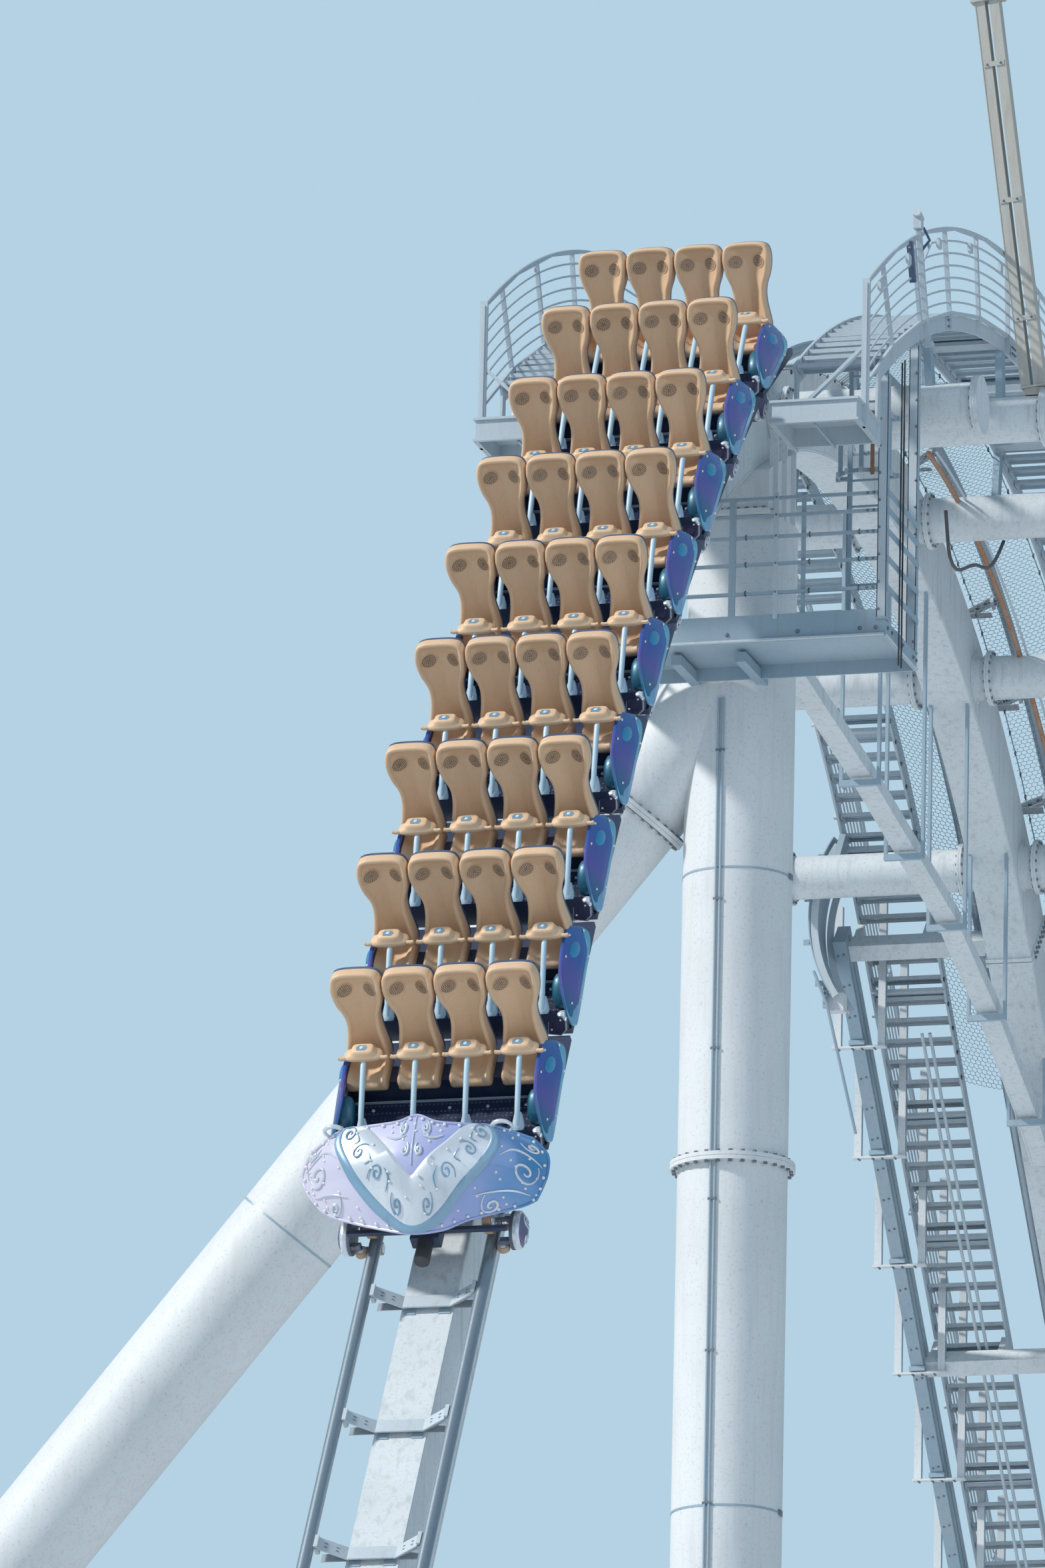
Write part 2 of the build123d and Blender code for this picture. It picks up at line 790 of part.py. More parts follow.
with BuildPart() as hangers:
    for place in hanger_places:
        low = line_height(trough_points, place) - trough_wall * 2
        ends = (place - hanger_bar / 2, place + hanger_bar / 2)
        for side in (-1, 1):
            with BuildSketch(Plane.YZ.offset(side * hanger_reach)):
                with BuildLine():
                    Polyline(
                        (ends[0], low - hanger_bar),
                        (ends[1], low - hanger_bar),
                        (ends[1], under_spine(ends[1]) - seat_gap),
                        (ends[0], under_spine(ends[0]) - seat_gap),
                        close=True,
                    )
                make_face()
            extrude(amount=hanger_bar / 4, both=True)
        with Locations((0, place, low - hanger_bar / 2)):
            Box(2 * hanger_reach + hanger_bar / 2, hanger_bar, hanger_bar)
write("trough_hangers", hangers)

# Service platform in front of the column, on a clamp round it
platform_width = platform_right - platform_left
platform_length = platform_back - platform_front
platform_middle = (platform_left + platform_right) / 2
platform_centre = (platform_front + platform_back) / 2
with BuildPart() as platform:
    with Locations((platform_middle, platform_centre, platform_height - platform_frame / 2)):
        Box(platform_width, platform_length, platform_frame)
        Box(
            platform_width - 2 * platform_edge,
            platform_length - 2 * platform_edge,
            platform_frame,
            mode=Mode.SUBTRACT,
        )
    with Locations((platform_middle, platform_centre, platform_height - deck_thickness / 2)):
        Box(platform_width - platform_edge, platform_length - platform_edge, deck_thickness)
    arm_reach = column_radius * 0.7
    for side in (-1, 1):
        arm_place = side * column_radius * 0.6
        arm_middle = (platform_centre - arm_reach) / 2
        with Locations((arm_place, arm_middle, platform_height - platform_frame * 0.7)):
            Box(platform_frame * 0.6, -platform_centre - arm_reach, platform_frame * 0.6)
    with BuildSketch(Plane.XY.offset(platform_height - platform_frame * 2)):
        Circle(column_radius + seat_gap)
    extrude(amount=platform_frame * 3, mode=Mode.SUBTRACT)
    with BuildSketch(leg_axis):
        Circle(column_radius + seat_gap)
    extrude(amount=leg_flange_distance, mode=Mode.SUBTRACT)
write("service_platform", platform)

# Posts that hang the platform's outer end from the left catwalk, and the platform's railing
with BuildPart() as posts:
    for place in (platform_front, platform_back - platform_post):
        heads = []
        for y in (place, place + platform_post):
            angle = angle_at(y, stringer_low)
            heads.append((y, crest_point(angle, stringer_low)[1] - stringer_sag - seat_gap * 2))
        with BuildSketch(Plane.YZ.offset(platform_right - platform_post)):
            with BuildLine():
                Polyline(
                    (place, platform_height),
                    (place + platform_post, platform_height),
                    heads[1],
                    heads[0],
                    close=True,
                )
            make_face()
        extrude(amount=platform_post)
write("platform_posts", posts)

rail_end = platform_right - platform_post - seat_gap
with BuildPart() as platform_railing:
    with BuildSketch(Plane.XZ.offset(-platform_front)):
        front_middle = (platform_left + rail_end) / 2
        for height in platform_rail_heights:
            with Locations((front_middle, platform_height + height)):
                Rectangle(rail_end - platform_left, railing_bar)
        rail_top = platform_rail_heights[-1] + railing_bar / 2
        for place in (platform_left + railing_bar, platform_middle):
            with Locations((place, platform_height + rail_top / 2)):
                Rectangle(railing_bar * 2, rail_top)
        with Locations((front_middle, platform_height + toe_board / 2)):
            Rectangle(rail_end - platform_left, toe_board)
        spine_foot = under_spine(platform_front) - railing_bar / 2
        with Locations((0, spine_foot + railing_bar * 5)):
            Rectangle(spine_width + railing_bar, railing_bar * 10, mode=Mode.SUBTRACT)
    extrude(amount=-railing_bar)
    with BuildSketch(Plane.YZ.offset(platform_left)):
        side_back = platform_back - railing_bar
        for height in platform_rail_heights:
            with Locations(((platform_front + side_back) / 2, platform_height + height)):
                Rectangle(side_back - platform_front, railing_bar)
        with Locations((side_back, platform_height + rail_top / 2)):
            Rectangle(railing_bar * 2, rail_top)
    extrude(amount=railing_bar)
write("platform_railing", platform_railing)

# Ladder from the platform to the catwalk, with hoops round its upper part
ladder_head = crest_point(angle_at(ladder_row, stringer_low), stringer_low)[1]
with BuildPart() as ladder:
    ladder_length = ladder_head - platform_height
    for side in (-1, 1):
        with Locations((ladder_place + side * ladder_width / 2, ladder_row, platform_height)):
            Box(
                ladder_bar,
                ladder_bar,
                ladder_length,
                align=(Align.CENTER, Align.CENTER, Align.MIN),
            )
    for number in range(1, int(ladder_length / rung_spacing) + 1):
        with Locations((ladder_place, ladder_row, platform_height + number * rung_spacing)):
            Box(ladder_width, ladder_bar / 2, ladder_bar / 2)
    for height in hoop_heights:
        with BuildSketch(Plane.XY.offset(platform_height + height)):
            with Locations((ladder_place, ladder_row)):
                RegularPolygon(hoop_radius, tube_sides)
                RegularPolygon(hoop_radius - ladder_bar / 2, tube_sides, mode=Mode.SUBTRACT)
            with Locations((ladder_place, ladder_row + hoop_radius / 2 + ladder_bar / 2)):
                Rectangle(2 * hoop_radius, hoop_radius, mode=Mode.SUBTRACT)
            for side in (-1, 1):
                bar = (hoop_radius - ladder_width / 2) / 2
                with Locations((ladder_place + side * (ladder_width / 2 + bar), ladder_row)):
                    Rectangle(2 * bar, ladder_bar)
        extrude(amount=ladder_bar)
    for turn in (-150, -90, -30):
        strap_x = ladder_place + (hoop_radius - ladder_bar / 2) * cos(radians(turn))
        strap_y = ladder_row + (hoop_radius - ladder_bar / 2) * sin(radians(turn))
        with Locations((strap_x, strap_y, platform_height + hoop_heights[0])):
            Box(
                ladder_bar,
                ladder_bar,
                hoop_heights[1] - hoop_heights[0],
                align=(Align.CENTER, Align.CENTER, Align.MIN),
            )
write("caged_ladder", ladder)

# Mast on the end of the cross tube, leaning in over the track, with the lightning rod on it
mast_tube = cross_tube_angles[1]
mast_y, mast_z = track_point(crest_distance(mast_tube), -cross_tube_depth)
mast_x = cross_tube_reach - mast_width / 2
lean = radians(mast_lean)
tilt = radians(track_slope(crest_distance(mast_tube)))
mast_up = (-sin(lean), -sin(tilt) * cos(lean), cos(tilt) * cos(lean))
mast_across = (cos(lean), -sin(tilt) * sin(lean), cos(tilt) * sin(lean))
mast_plane = Plane(origin=(mast_x, mast_y, mast_z), x_dir=mast_across, z_dir=mast_up)
mast_start = (blind_flange_diameter / 2 + mast_width / 2 * sin(lean)) / cos(lean) + seat_gap
with BuildPart() as mast:
    channel = (mast_width - mast_slot) / 2
    with BuildSketch(mast_plane.offset(mast_start + mast_plate)):
        for side in (-1, 1):
            with Locations((side * (mast_slot + channel) / 2, 0)):
                Rectangle(channel, mast_depth)
    extrude(amount=mast_length - mast_plate * 2)
    plates = ((mast_start, mast_width), (mast_start + mast_length - mast_plate, mast_top_plate))
    for height, width in plates:
        with BuildSketch(mast_plane.offset(height)):
            Rectangle(width, mast_depth * 1.3)
        extrude(amount=mast_plate)
    saddle_low = cross_tube_diameter / 2 + seat_gap
    saddle_width = mast_width - blind_flange_thickness - seat_gap
    saddle_plane = track_plane(crest_distance(mast_tube)).offset(saddle_low - cross_tube_depth)
    with BuildSketch(saddle_plane):
        with Locations((mast_x - blind_flange_thickness / 2, 0)):
            Rectangle(saddle_width, mast_depth)
    extrude(amount=mast_start - saddle_low)
write("mast", mast)
with BuildPart() as rod:
    with BuildSketch(mast_plane.offset(mast_start + mast_length + seat_gap)):
        RegularPolygon(rod_diameter, rail_sides)
    extrude(amount=mast_plate)
    with BuildSketch(mast_plane.offset(mast_start + mast_length + mast_plate)):
        RegularPolygon(rod_diameter / 2, rail_sides)
    extrude(amount=rod_length * 0.75)
    with BuildSketch(mast_plane.offset(mast_start + mast_length + rod_length * 0.75)):
        RegularPolygon(rod_diameter / 4, rail_sides)
    extrude(amount=rod_length * 0.25)
write("lightning_rod", rod)

# Train: the lead car with the nose, then one car to each row of seats
car_places = [first_row - row_pitch * number for number in range(-1, row_count)]
row_places = car_places[1:]
car_length = car_back - car_front
deck_low = deck_top - deck_plate
backbone_low = deck_low - backbone_depth

# Chassis: a deck on a backbone with the toe plate, and a pivot lug for each lap bar
seat_places = [seat_spacing * (number - 1.5) for number in range(4)]
wheel_height = rail_diameter / 2 + road_wheel_diameter / 2 + wheel_gap
arch_high = wheel_height + road_wheel_diameter / 2 + arch_gap / 2
with BuildPart() as frame:
    with Locations((0, (car_front + car_back) / 2, deck_low + deck_plate / 2)):
        Box(2 * car_half_width, car_length, deck_plate)
    with Locations((0, (car_front + car_back) / 2, backbone_low + backbone_depth / 2)):
        Box(backbone_width, car_length, backbone_depth)
    for side in (-1, 1):
        with Locations((side * rail_place, 0, (deck_low + arch_high) / 2)):
            Box(
                road_wheel_width + 2 * arch_gap,
                road_wheel_diameter + 2 * arch_gap,
                arch_high - deck_low,
                mode=Mode.SUBTRACT,
            )
lead_length = car_back - bumper_place
lead_deck = car_back - lead_deck_front
with BuildPart() as lead_frame:
    with Locations((0, (bumper_place + car_back) / 2, backbone_low + backbone_depth / 2)):
        Box(backbone_width, lead_length, backbone_depth)
    with Locations((0, car_back - lead_deck / 2, deck_low + deck_plate / 2)):
        Box(2 * car_half_width, lead_deck, deck_plate)
    for place in (-lead_beam_place, lead_beam_place):
        with Locations((0, place, deck_low - lead_beam / 2)):
            Box(2 * bogie_place, lead_beam, lead_beam)
with BuildPart() as seat_base:
    with BuildSketch(Plane.YZ):
        with BuildLine():
            Polyline(
                (car_front, deck_top),
                (car_front + toe_plate, deck_top),
                (car_front, deck_top + toe_rise),
                close=True,
            )
        make_face()
        bench_top = seat_pan_height - seat_wall
        with Locations((seat_front - seat_pan_length / 2, (deck_top + bench_top) / 2)):
            Rectangle(bench_depth, bench_top - deck_top)
    extrude(amount=bench_width / 2, both=True)
with BuildPart() as lugs:
    lug_top = hinge_height + hub_diameter / 2
    for place in seat_places:
        lug_place = place + hub_width / 2 + hinge_clearance + lug_thickness / 2
        with Locations((lug_place, hinge_place, (deck_top + lug_top) / 2)):
            Box(lug_thickness, lug_width, lug_top - deck_top)
with BuildPart() as chassis:
    with Locations(track_plane(car_places[0]).location):
        add(lead_frame.part)
    with Locations(*[track_plane(place).location for place in row_places]):
        add(frame.part)
        add(seat_base.part)
        add(lugs.part)
write("train_chassis", chassis)

# Side panels and footwell linings
with BuildPart() as panel:
    for side in (-1, 1):
        with BuildSketch(Plane.YZ.offset(side * panel_place)):
            with BuildLine():
                Polyline(
                    (panel_front, deck_low),
                    (panel_front + panel_notch, panel_low),
                    (panel_back, panel_low + panel_slope / 2),
                    (panel_back, panel_high - panel_slope),
                    (panel_back - panel_notch, panel_high),
                    (0, panel_high - panel_slope / 2),
                    (panel_front, panel_high - panel_notch),
                    close=True,
                )
            make_face()
        extrude(amount=side * panel_thickness)
        with Locations((side * (panel_place + car_half_width) / 2, 0, deck_low + deck_plate / 2)):
            Box(panel_place - car_half_width, panel_notch, deck_plate)
with BuildPart() as panels:
    with Locations(*[track_plane(place).location for place in row_places]):
        add(panel.part)
write("side_panels", panels)

# Bogies: outer plates, each with a road wheel on the rail and a guide wheel outside it
plate_low = -rail_diameter / 2 - small_wheel_diameter
for side_name, side in (("left", 1), ("right", -1)):
    with BuildPart() as bogie:
        with Locations((side * (bogie_place + bogie_plate / 2), 0, (deck_low + plate_low) / 2)):
            Box(bogie_plate, bogie_length, deck_low - plate_low)
        with BuildSketch(Plane.YZ.offset(side * (rail_place - road_wheel_width / 2))):
            with Locations((0, wheel_height)):
                RegularPolygon(road_wheel_diameter / 2, wheel_sides)
        extrude(amount=side * road_wheel_width)
        with BuildSketch(Plane.YZ.offset(side * (rail_place - road_wheel_width))):
            with Locations((0, wheel_height)):
                Rectangle(axle_diameter, axle_diameter)
        extrude(amount=side * (bogie_place - rail_place + road_wheel_width))
        under_height = -rail_diameter / 2 - small_wheel_diameter / 2 - wheel_gap
        with BuildSketch(Plane.YZ.offset(side * (rail_place - small_wheel_width / 2))):
            with Locations((0, under_height)):
                RegularPolygon(small_wheel_diameter / 2, hub_sides)
        extrude(amount=side * (bogie_place - rail_place + small_wheel_width / 2))
    with BuildPart() as bogies:
        with Locations(*[track_plane(place).location for place in car_places]):
            add(bogie.part)
    write(side_name + "_bogies", bogies)

# Seat: a waisted shell with side wings and a pan, leaning back
back_plane = Plane(
    origin=(0, seat_front, seat_pan_height),
    x_dir=(1, 0, 0),
    z_dir=(0, -cos(radians(seat_recline)), sin(radians(seat_recline))),
)
back_height = (seat_top - seat_pan_height) / cos(radians(seat_recline))
back_side = [
    (seat_waist, -seat_wall),
    (seat_waist, back_height * 0.38),
    (seat_shoulder, back_height * 0.65),
    (seat_shoulder, back_height * 0.88),
    (seat_waist * 0.8, back_height),
]
with BuildPart() as seat:
    with BuildSketch(back_plane):
        with BuildLine():
            Polyline(*back_side, *[(-x, y) for x, y in reversed(back_side)], close=True)
        make_face()
    extrude(amount=-seat_wall)
    for side in (-1, 1):
        outer = [(side * x, y) for x, y in back_side[:4]]
        inner = [(side * (x - seat_wing), y) for x, y in back_side[:4]]
        with BuildSketch(back_plane):
            with BuildLine():
                Polyline(*outer, *reversed(inner), close=True)
            make_face()
        extrude(amount=wing_depth)
    pan_middle = seat_front - seat_pan_length / 2
    with Locations((0, pan_middle, seat_pan_height - seat_wall / 2)):
        Box(seat_pan_width, seat_pan_length, seat_wall)
with BuildPart() as seat_row:
    with Locations(*[(place, 0, 0) for place in seat_places]):
        add(seat.part)
seat_groups = {
    "seats_row_1": row_places[:1],
    "seats_row_2": row_places[1:2],
    "seats_row_3": row_places[2:3],
    "seats_rows_4_to_6": row_places[3:6],
    "seats_rows_7_to_9": row_places[6:],
}
for group_name, group in seat_groups.items():
    with BuildPart() as seats:
        with Locations(*[track_plane(place).location for place in group]):
            add(seat_row.part)
    write(group_name, seats)

# Lap bars: a stem from the pivot in the footwell up to a padded head with two handles
stem_rise = pad_height - pad_thickness / 2 - hinge_height
with BuildPart() as lap_bar:
    with BuildSketch(Plane.YZ):
        with Locations((hinge_place, hinge_height)):
            RegularPolygon(hub_diameter / 2, hub_sides)
    extrude(amount=hub_width / 2, both=True)
    add(
        bar_between(
            (0, hinge_place, hinge_height),
            (0, pad_place, hinge_height + stem_rise),
            stem_width,
            stem_width,
        )
    )
    with BuildSketch(Plane.XY.offset(pad_height - pad_thickness / 2)):
        with Locations((0, pad_place)):
            Rectangle(pad_width, pad_length)
        with Locations((0, pad_place + handle_place)):
            Rectangle(2 * handle_reach, handle_bar)
    extrude(amount=pad_thickness)
with BuildPart() as bar_row:
    with Locations(*[(place, 0, 0) for place in seat_places]):
        add(lap_bar.part)
for number, place in enumerate(row_places, 1):
    with BuildPart() as bars:
        with Locations(track_plane(place).location):
            add(bar_row.part)
    write("lap_bars_row_%d" % number, bars)

# Nose fairing on the lead car: a hollow wedge with a peaked top, and the bumper under it
lead_plane = track_plane(car_places[0])


def nose_outline(half, low, high):
    """The nose's outline in X and Z: a keel below, upright sides and a peaked top."""
    rise = high - low
    side_line = [(half, low + rise * 0.13), (half, low + rise * 0.67), (half * 0.55, low + rise * 0.87)]
    mirrored = [(-x, z) for x, z in reversed(side_line)]
    return [*side_line, (0, high), *mirrored, (-half * 0.5, low), (half * 0.5, low)]


def nose_wedge(inset):
    """The nose's solid wedge from its wide back to its tip, drawn in by an inset."""
    half = nose_half_width - inset
    low = nose_low + inset
    rise = nose_high - nose_low - 2 * inset
    tip_low = nose_low + nose_tip_rise + inset
    with BuildPart() as wedge:
        for place, outline in (
            (nose_back + inset, nose_outline(half, low, low + rise)),
            (
                nose_tip + inset,
                nose_outline(half * nose_taper, tip_low, tip_low + rise * nose_taper),
            ),
        ):
            with BuildSketch(Plane.XZ.offset(-place)):
                with BuildLine():
                    Polyline(*outline, close=True)
                make_face()
        loft(ruled=True)
    return wedge.part


with BuildPart() as nose_shape:
    add(nose_wedge(0))
    add(nose_wedge(nose_shell), mode=Mode.SUBTRACT)
with BuildPart() as nose:
    with Locations(lead_plane.location):
        add(nose_shape.part)
write("nose_fairing", nose)
with BuildPart() as bumper:
    with BuildSketch(Plane.XZ.offset(-bumper_place)):
        with Locations((0, backbone_low + backbone_depth / 2)):
            RegularPolygon(bumper_diameter / 2, tube_sides)
    extrude(amount=bumper_length)
with BuildPart() as bumper_placed:
    with Locations(lead_plane.location):
        add(bumper.part)
write("bumper", bumper_placed)
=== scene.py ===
from math import asin, cos, hypot, pi, radians, sin, tan

import bmesh
import bpy
from mathutils import Matrix, Vector


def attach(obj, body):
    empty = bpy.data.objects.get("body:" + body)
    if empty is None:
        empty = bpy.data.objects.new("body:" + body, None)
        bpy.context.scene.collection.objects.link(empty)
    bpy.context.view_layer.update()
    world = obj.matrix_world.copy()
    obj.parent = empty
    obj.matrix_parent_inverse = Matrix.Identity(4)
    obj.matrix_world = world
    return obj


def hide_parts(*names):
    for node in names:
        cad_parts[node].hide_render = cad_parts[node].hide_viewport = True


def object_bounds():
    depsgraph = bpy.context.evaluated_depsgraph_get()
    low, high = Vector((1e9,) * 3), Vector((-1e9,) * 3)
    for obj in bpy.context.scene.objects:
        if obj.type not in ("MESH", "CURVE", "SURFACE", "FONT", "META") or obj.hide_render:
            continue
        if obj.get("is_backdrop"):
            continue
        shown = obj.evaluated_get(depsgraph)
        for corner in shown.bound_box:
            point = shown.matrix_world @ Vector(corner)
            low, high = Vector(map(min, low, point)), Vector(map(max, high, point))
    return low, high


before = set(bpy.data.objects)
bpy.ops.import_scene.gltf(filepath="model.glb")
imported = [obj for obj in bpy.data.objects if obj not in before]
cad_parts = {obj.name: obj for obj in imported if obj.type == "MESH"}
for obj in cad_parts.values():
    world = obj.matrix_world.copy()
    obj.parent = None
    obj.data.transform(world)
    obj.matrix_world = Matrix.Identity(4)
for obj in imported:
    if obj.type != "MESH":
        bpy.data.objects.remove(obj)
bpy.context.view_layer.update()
scene = bpy.context.scene
moved = Matrix.Translation


def rotated(angle, axis):
    return Matrix.Rotation(angle, 4, axis)


def frame_of(place, x, y, z):
    """Frame at a place, with its three axes given."""
    return moved(place) @ Matrix((x, y, z)).transposed().to_4x4()


# Camera, at the photo's place and angle
turn, rise, roll = radians(15.613), radians(14.911), radians(1.282)
ahead = Vector((-sin(turn) * cos(rise), cos(turn) * cos(rise), sin(rise)))
right = Vector((cos(turn), sin(turn), 0))
above = right.cross(ahead)
across = cos(roll) * right + sin(roll) * above
upward = -sin(roll) * right + cos(roll) * above
camera = bpy.data.objects.new("camera", bpy.data.cameras.new("camera"))
scene.collection.objects.link(camera)
camera.data.lens = 270.74
camera.data.sensor_width = 36
camera.data.clip_start, camera.data.clip_end = 1, 400
camera.matrix_world = frame_of((15.895, -61.36, 2.08), across, upward, -ahead)
scene.camera = camera
scene.view_settings.view_transform = "Standard"

# Track line, in metres: distance runs down the track from the apex
apex, offset, crest_radius, drop_radius = 21.95, 2.412, 6.578, 17.7
lift_slope, crest_slope, drop_slope = radians(45), radians(43.4), radians(59)
lift_arc, crest_arc = crest_radius * lift_slope, crest_radius * crest_slope
drop_arc = drop_radius * (drop_slope - crest_slope)
track_start, track_end = -lift_arc - 9.0, crest_arc + drop_arc + 9.3
gauge, rail_radius = 0.305, 0.033
first_row, row_pitch, seat_spacing = 10.532, 0.8165, 0.272
row_places = [first_row - row_pitch * n for n in range(9)]
lead_place = first_row + row_pitch
tie_pitch, end_margin = 0.845, 0.05
tie_places = [d for d in (11.714 + tie_pitch * n for n in range(-40, 12))
              if track_start + end_margin < d < track_end - end_margin]
splices = (-lift_arc, crest_arc, crest_arc + drop_arc)
sides = ((1, "left"), (-1, "right"))
to_front = rotated(pi / 2, "X")


def slope(d):
    """Slope of the track at a distance, in radians, negative on the lift."""
    if d < -lift_arc:
        return -lift_slope
    if d <= crest_arc:
        return d / crest_radius
    return min(drop_slope, crest_slope + (d - crest_arc) / drop_radius)


def on_track(d, x=0.0, h=0.0):
    """Point at a distance down the track, x across it and h above its rails."""
    s = slope(d)
    centre = apex - crest_radius
    if d <= crest_arc:
        y, z = offset - crest_radius * sin(s), centre + crest_radius * cos(s)
        past = min(0.0, d + lift_arc)
    else:
        t = crest_slope
        y = offset - crest_radius * sin(t) + drop_radius * (sin(t) - sin(s))
        z = centre + crest_radius * cos(t) - drop_radius * (cos(t) - cos(s))
        past = max(0.0, d - crest_arc - drop_arc)
    y -= past * cos(s) + h * sin(s)
    z -= past * sin(s) - h * cos(s)
    return Vector((x, y, z))


def track(d):
    """Frame of the track at a distance: X across, Y back up it, Z square to the rails."""
    s = slope(d)
    return frame_of(on_track(d), (1, 0, 0), (0, cos(s), sin(s)), (0, -sin(s), cos(s)))


def pointing(start, finish):
    """Frame at start with its Z towards finish, and its X level where it can be."""
    z = (Vector(finish) - Vector(start)).normalized()
    x = Vector((1, 0, 0)) if abs(z.x) < 0.9 else Vector((0, 1, 0))
    x = (x - z * x.dot(z)).normalized()
    return frame_of(start, x, z.cross(x), z)


def over_crest(angle):
    """Distance at an angle in degrees back from the apex, round the crest."""
    return -crest_radius * radians(angle)


def circle(radius, count, start=0.0, other=None):
    """Points round a circle, or round an oval whose second half-width is given."""
    turns = [2 * pi * (n + start) / count for n in range(count)]
    return [(radius * cos(t), (other or radius) * sin(t)) for t in turns]


def curve(values, at):
    """Smooth value along a row of values, for a place from 0 to 1."""
    count = len(values) - 1
    k = min(count - 1, max(0, int(at * count)))
    return between([values[min(count, max(0, k + m))] for m in (-1, 0, 1, 2)], at * count - k)


def between(four, t):
    """Smooth value between the middle two of four, at a share of the way."""
    a, b, c, d = (Vector(value) for value in four)
    return 0.5 * (2 * b + (c - a) * t + (2 * a - 5 * b + 4 * c - d) * t * t
                  + (3 * b - a - 3 * c + d) * t ** 3)


def smooth_line(points, steps):
    """Points along a smooth curve through the given ones, closed round."""
    n = len(points)
    return [between([points[(i + k) % n] for k in (-1, 0, 1, 2)], step / steps)
            for i in range(n) for step in range(steps)]


class Shape:
    """Faces of one piece; new points are given in the frame `place`."""

    def __init__(self):
        self.points, self.faces, self.slots, self.flat = [], [], [], []
        self.place, self.uv_from = Matrix(), None

    def on(self, place=Matrix()):
        """Take a frame for the next points, or go back to the scene's own."""
        self.place = place
        return self

    def add(self, points, faces, slot=0):
        first = len(self.points)
        self.points += [self.place @ Vector(p) for p in points]
        self.flat += [Vector(p) for p in points]
        self.faces += [[first + i for i in f] for f in faces]
        self.slots += [slot] * len(faces)

    def loft(self, rings, slot=0, closed=True, caps=True):
        """Faces between rings of the same number of points."""
        n, last = len(rings[0]), len(rings) - 1
        faces = [
            (k * n + i, k * n + (i + 1) % n, (k + 1) * n + (i + 1) % n, (k + 1) * n + i)
            for k in range(last)
            for i in range(n if closed else n - 1)
        ]
        if caps and closed:
            faces += [tuple(reversed(range(n))), tuple(last * n + i for i in range(n))]
        self.add([p for ring in rings for p in ring], faces, slot)

    def box(self, centre, size, slot=0):
        """A block with its sides along the frame's axes."""
        x, y, z = centre
        a, b, c = (s / 2 for s in size)
        self.plate([(x - a, y - b), (x + a, y - b), (x + a, y + b), (x - a, y + b)],
                   z - c, z + c, slot)

    def plate(self, outline, low, high, slot=0):
        """An outline in the frame's XY, from one height to another."""
        self.loft([[(x, y, z) for x, y in outline] for z in (low, high)], slot)

    def lathe(self, profile, count=32, slot=0, caps=True, at=(0, 0)):
        """A profile of (radius, height) turned about the frame's Z."""
        turns = circle(1, count)
        self.loft([[(at[0] + r * c, at[1] + r * s, z) for c, s in turns] for r, z in profile],
                  slot, caps=caps)

    def tube(self, line, radius, count=10, slot=0):
        """A round tube along a line of points, of one radius or one for each point."""
        line = [Vector(p) for p in line]
        sizes = radius if isinstance(radius, list) else [radius] * len(line)
        rings, side = [], None
        for i, p in enumerate(line):
            along = (line[min(i + 1, len(line) - 1)] - line[max(i - 1, 0)]).normalized()
            if side is None:
                side = Vector((1, 0, 0)) if abs(along.x) < 0.9 else Vector((0, 1, 0))
            side = (side - along * side.dot(along)).normalized()
            other = along.cross(side)
            rings.append([p + sizes[i] * (c * side + s * other) for c, s in circle(1, count)])
        self.loft(rings, slot)

    def bar(self, start, finish, width, depth, slot=0):
        """A square bar between two points of the scene, its width level."""
        kept, self.place = self.place, pointing(start, finish)
        length = (Vector(finish) - Vector(start)).length
        self.box((0, 0, length / 2), (width, depth, length), slot)
        self.place = kept

    def bolts(self, places, size=0.011, height=0.012, slot=0, z=0.0):
        """Hexagon heads on washers, standing at a height over the frame's XY plane."""
        for at in places:
            self.lathe([(size * 1.35, z), (size * 1.35, z + height * 0.25)], 10, slot, at=at)
            self.lathe([(size, z), (size, z + height), (size * 0.7, z + height * 1.15)], 6, slot,
                       at=at)

    def make(self, name, materials, body="structure", instead=(), sharp=35):
        """Build the piece, smooth up to an angle, on its body and in place of named nodes."""
        mesh = bpy.data.meshes.new(name)
        mesh.from_pydata([tuple(p) for p in self.points], [], self.faces)
        for material in materials:
            mesh.materials.append(material)
        mesh.polygons.foreach_set("material_index", self.slots)
        if self.uv_from:
            layer = mesh.uv_layers.new(name="UVMap")
            for loop in mesh.loops:
                layer.data[loop.index].uv = self.uv_from(self.flat[loop.vertex_index])
        work = bmesh.new()
        work.from_mesh(mesh)
        bmesh.ops.recalc_face_normals(work, faces=work.faces)
        work.to_mesh(mesh)
        work.free()
        mesh.shade_smooth()
        mesh.set_sharp_from_angle(angle=radians(sharp))
        piece = bpy.data.objects.new(name, mesh)
        scene.collection.objects.link(piece)
        if body:
            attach(piece, body)
        if instead:
            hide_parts(*instead)
        return piece


# Shader groups: each takes named inputs and gives out colours or values
def new_group(name, inputs, outputs):
    tree = bpy.data.node_groups.new(name, "ShaderNodeTree")
    for label, kind, value in inputs:
        item = tree.interface.new_socket(label, in_out="INPUT", socket_type=kind)
        item.default_value = value
    for label, kind in outputs:
        tree.interface.new_socket(label, in_out="OUTPUT", socket_type=kind)
    return tree, tree.nodes.new("NodeGroupInput"), tree.nodes.new("NodeGroupOutput")


def fill_inputs(tree, made, links):
    """Link or set a node's inputs, by name or number."""
    for socket, source in links:
        if hasattr(source, "is_output"):
            tree.links.new(source, made.inputs[socket])
        else:
            made.inputs[socket].default_value = source
    return made


def node(tree, kind, links=(), **settings):
    made = tree.nodes.new("ShaderNode" + kind)
    for key, value in settings.items():
        setattr(made, key, value)
    return fill_inputs(tree, made, links)


def maths(tree, operation, *sources):
    return node(tree, "Math", list(enumerate(sources)), operation=operation).outputs[0]


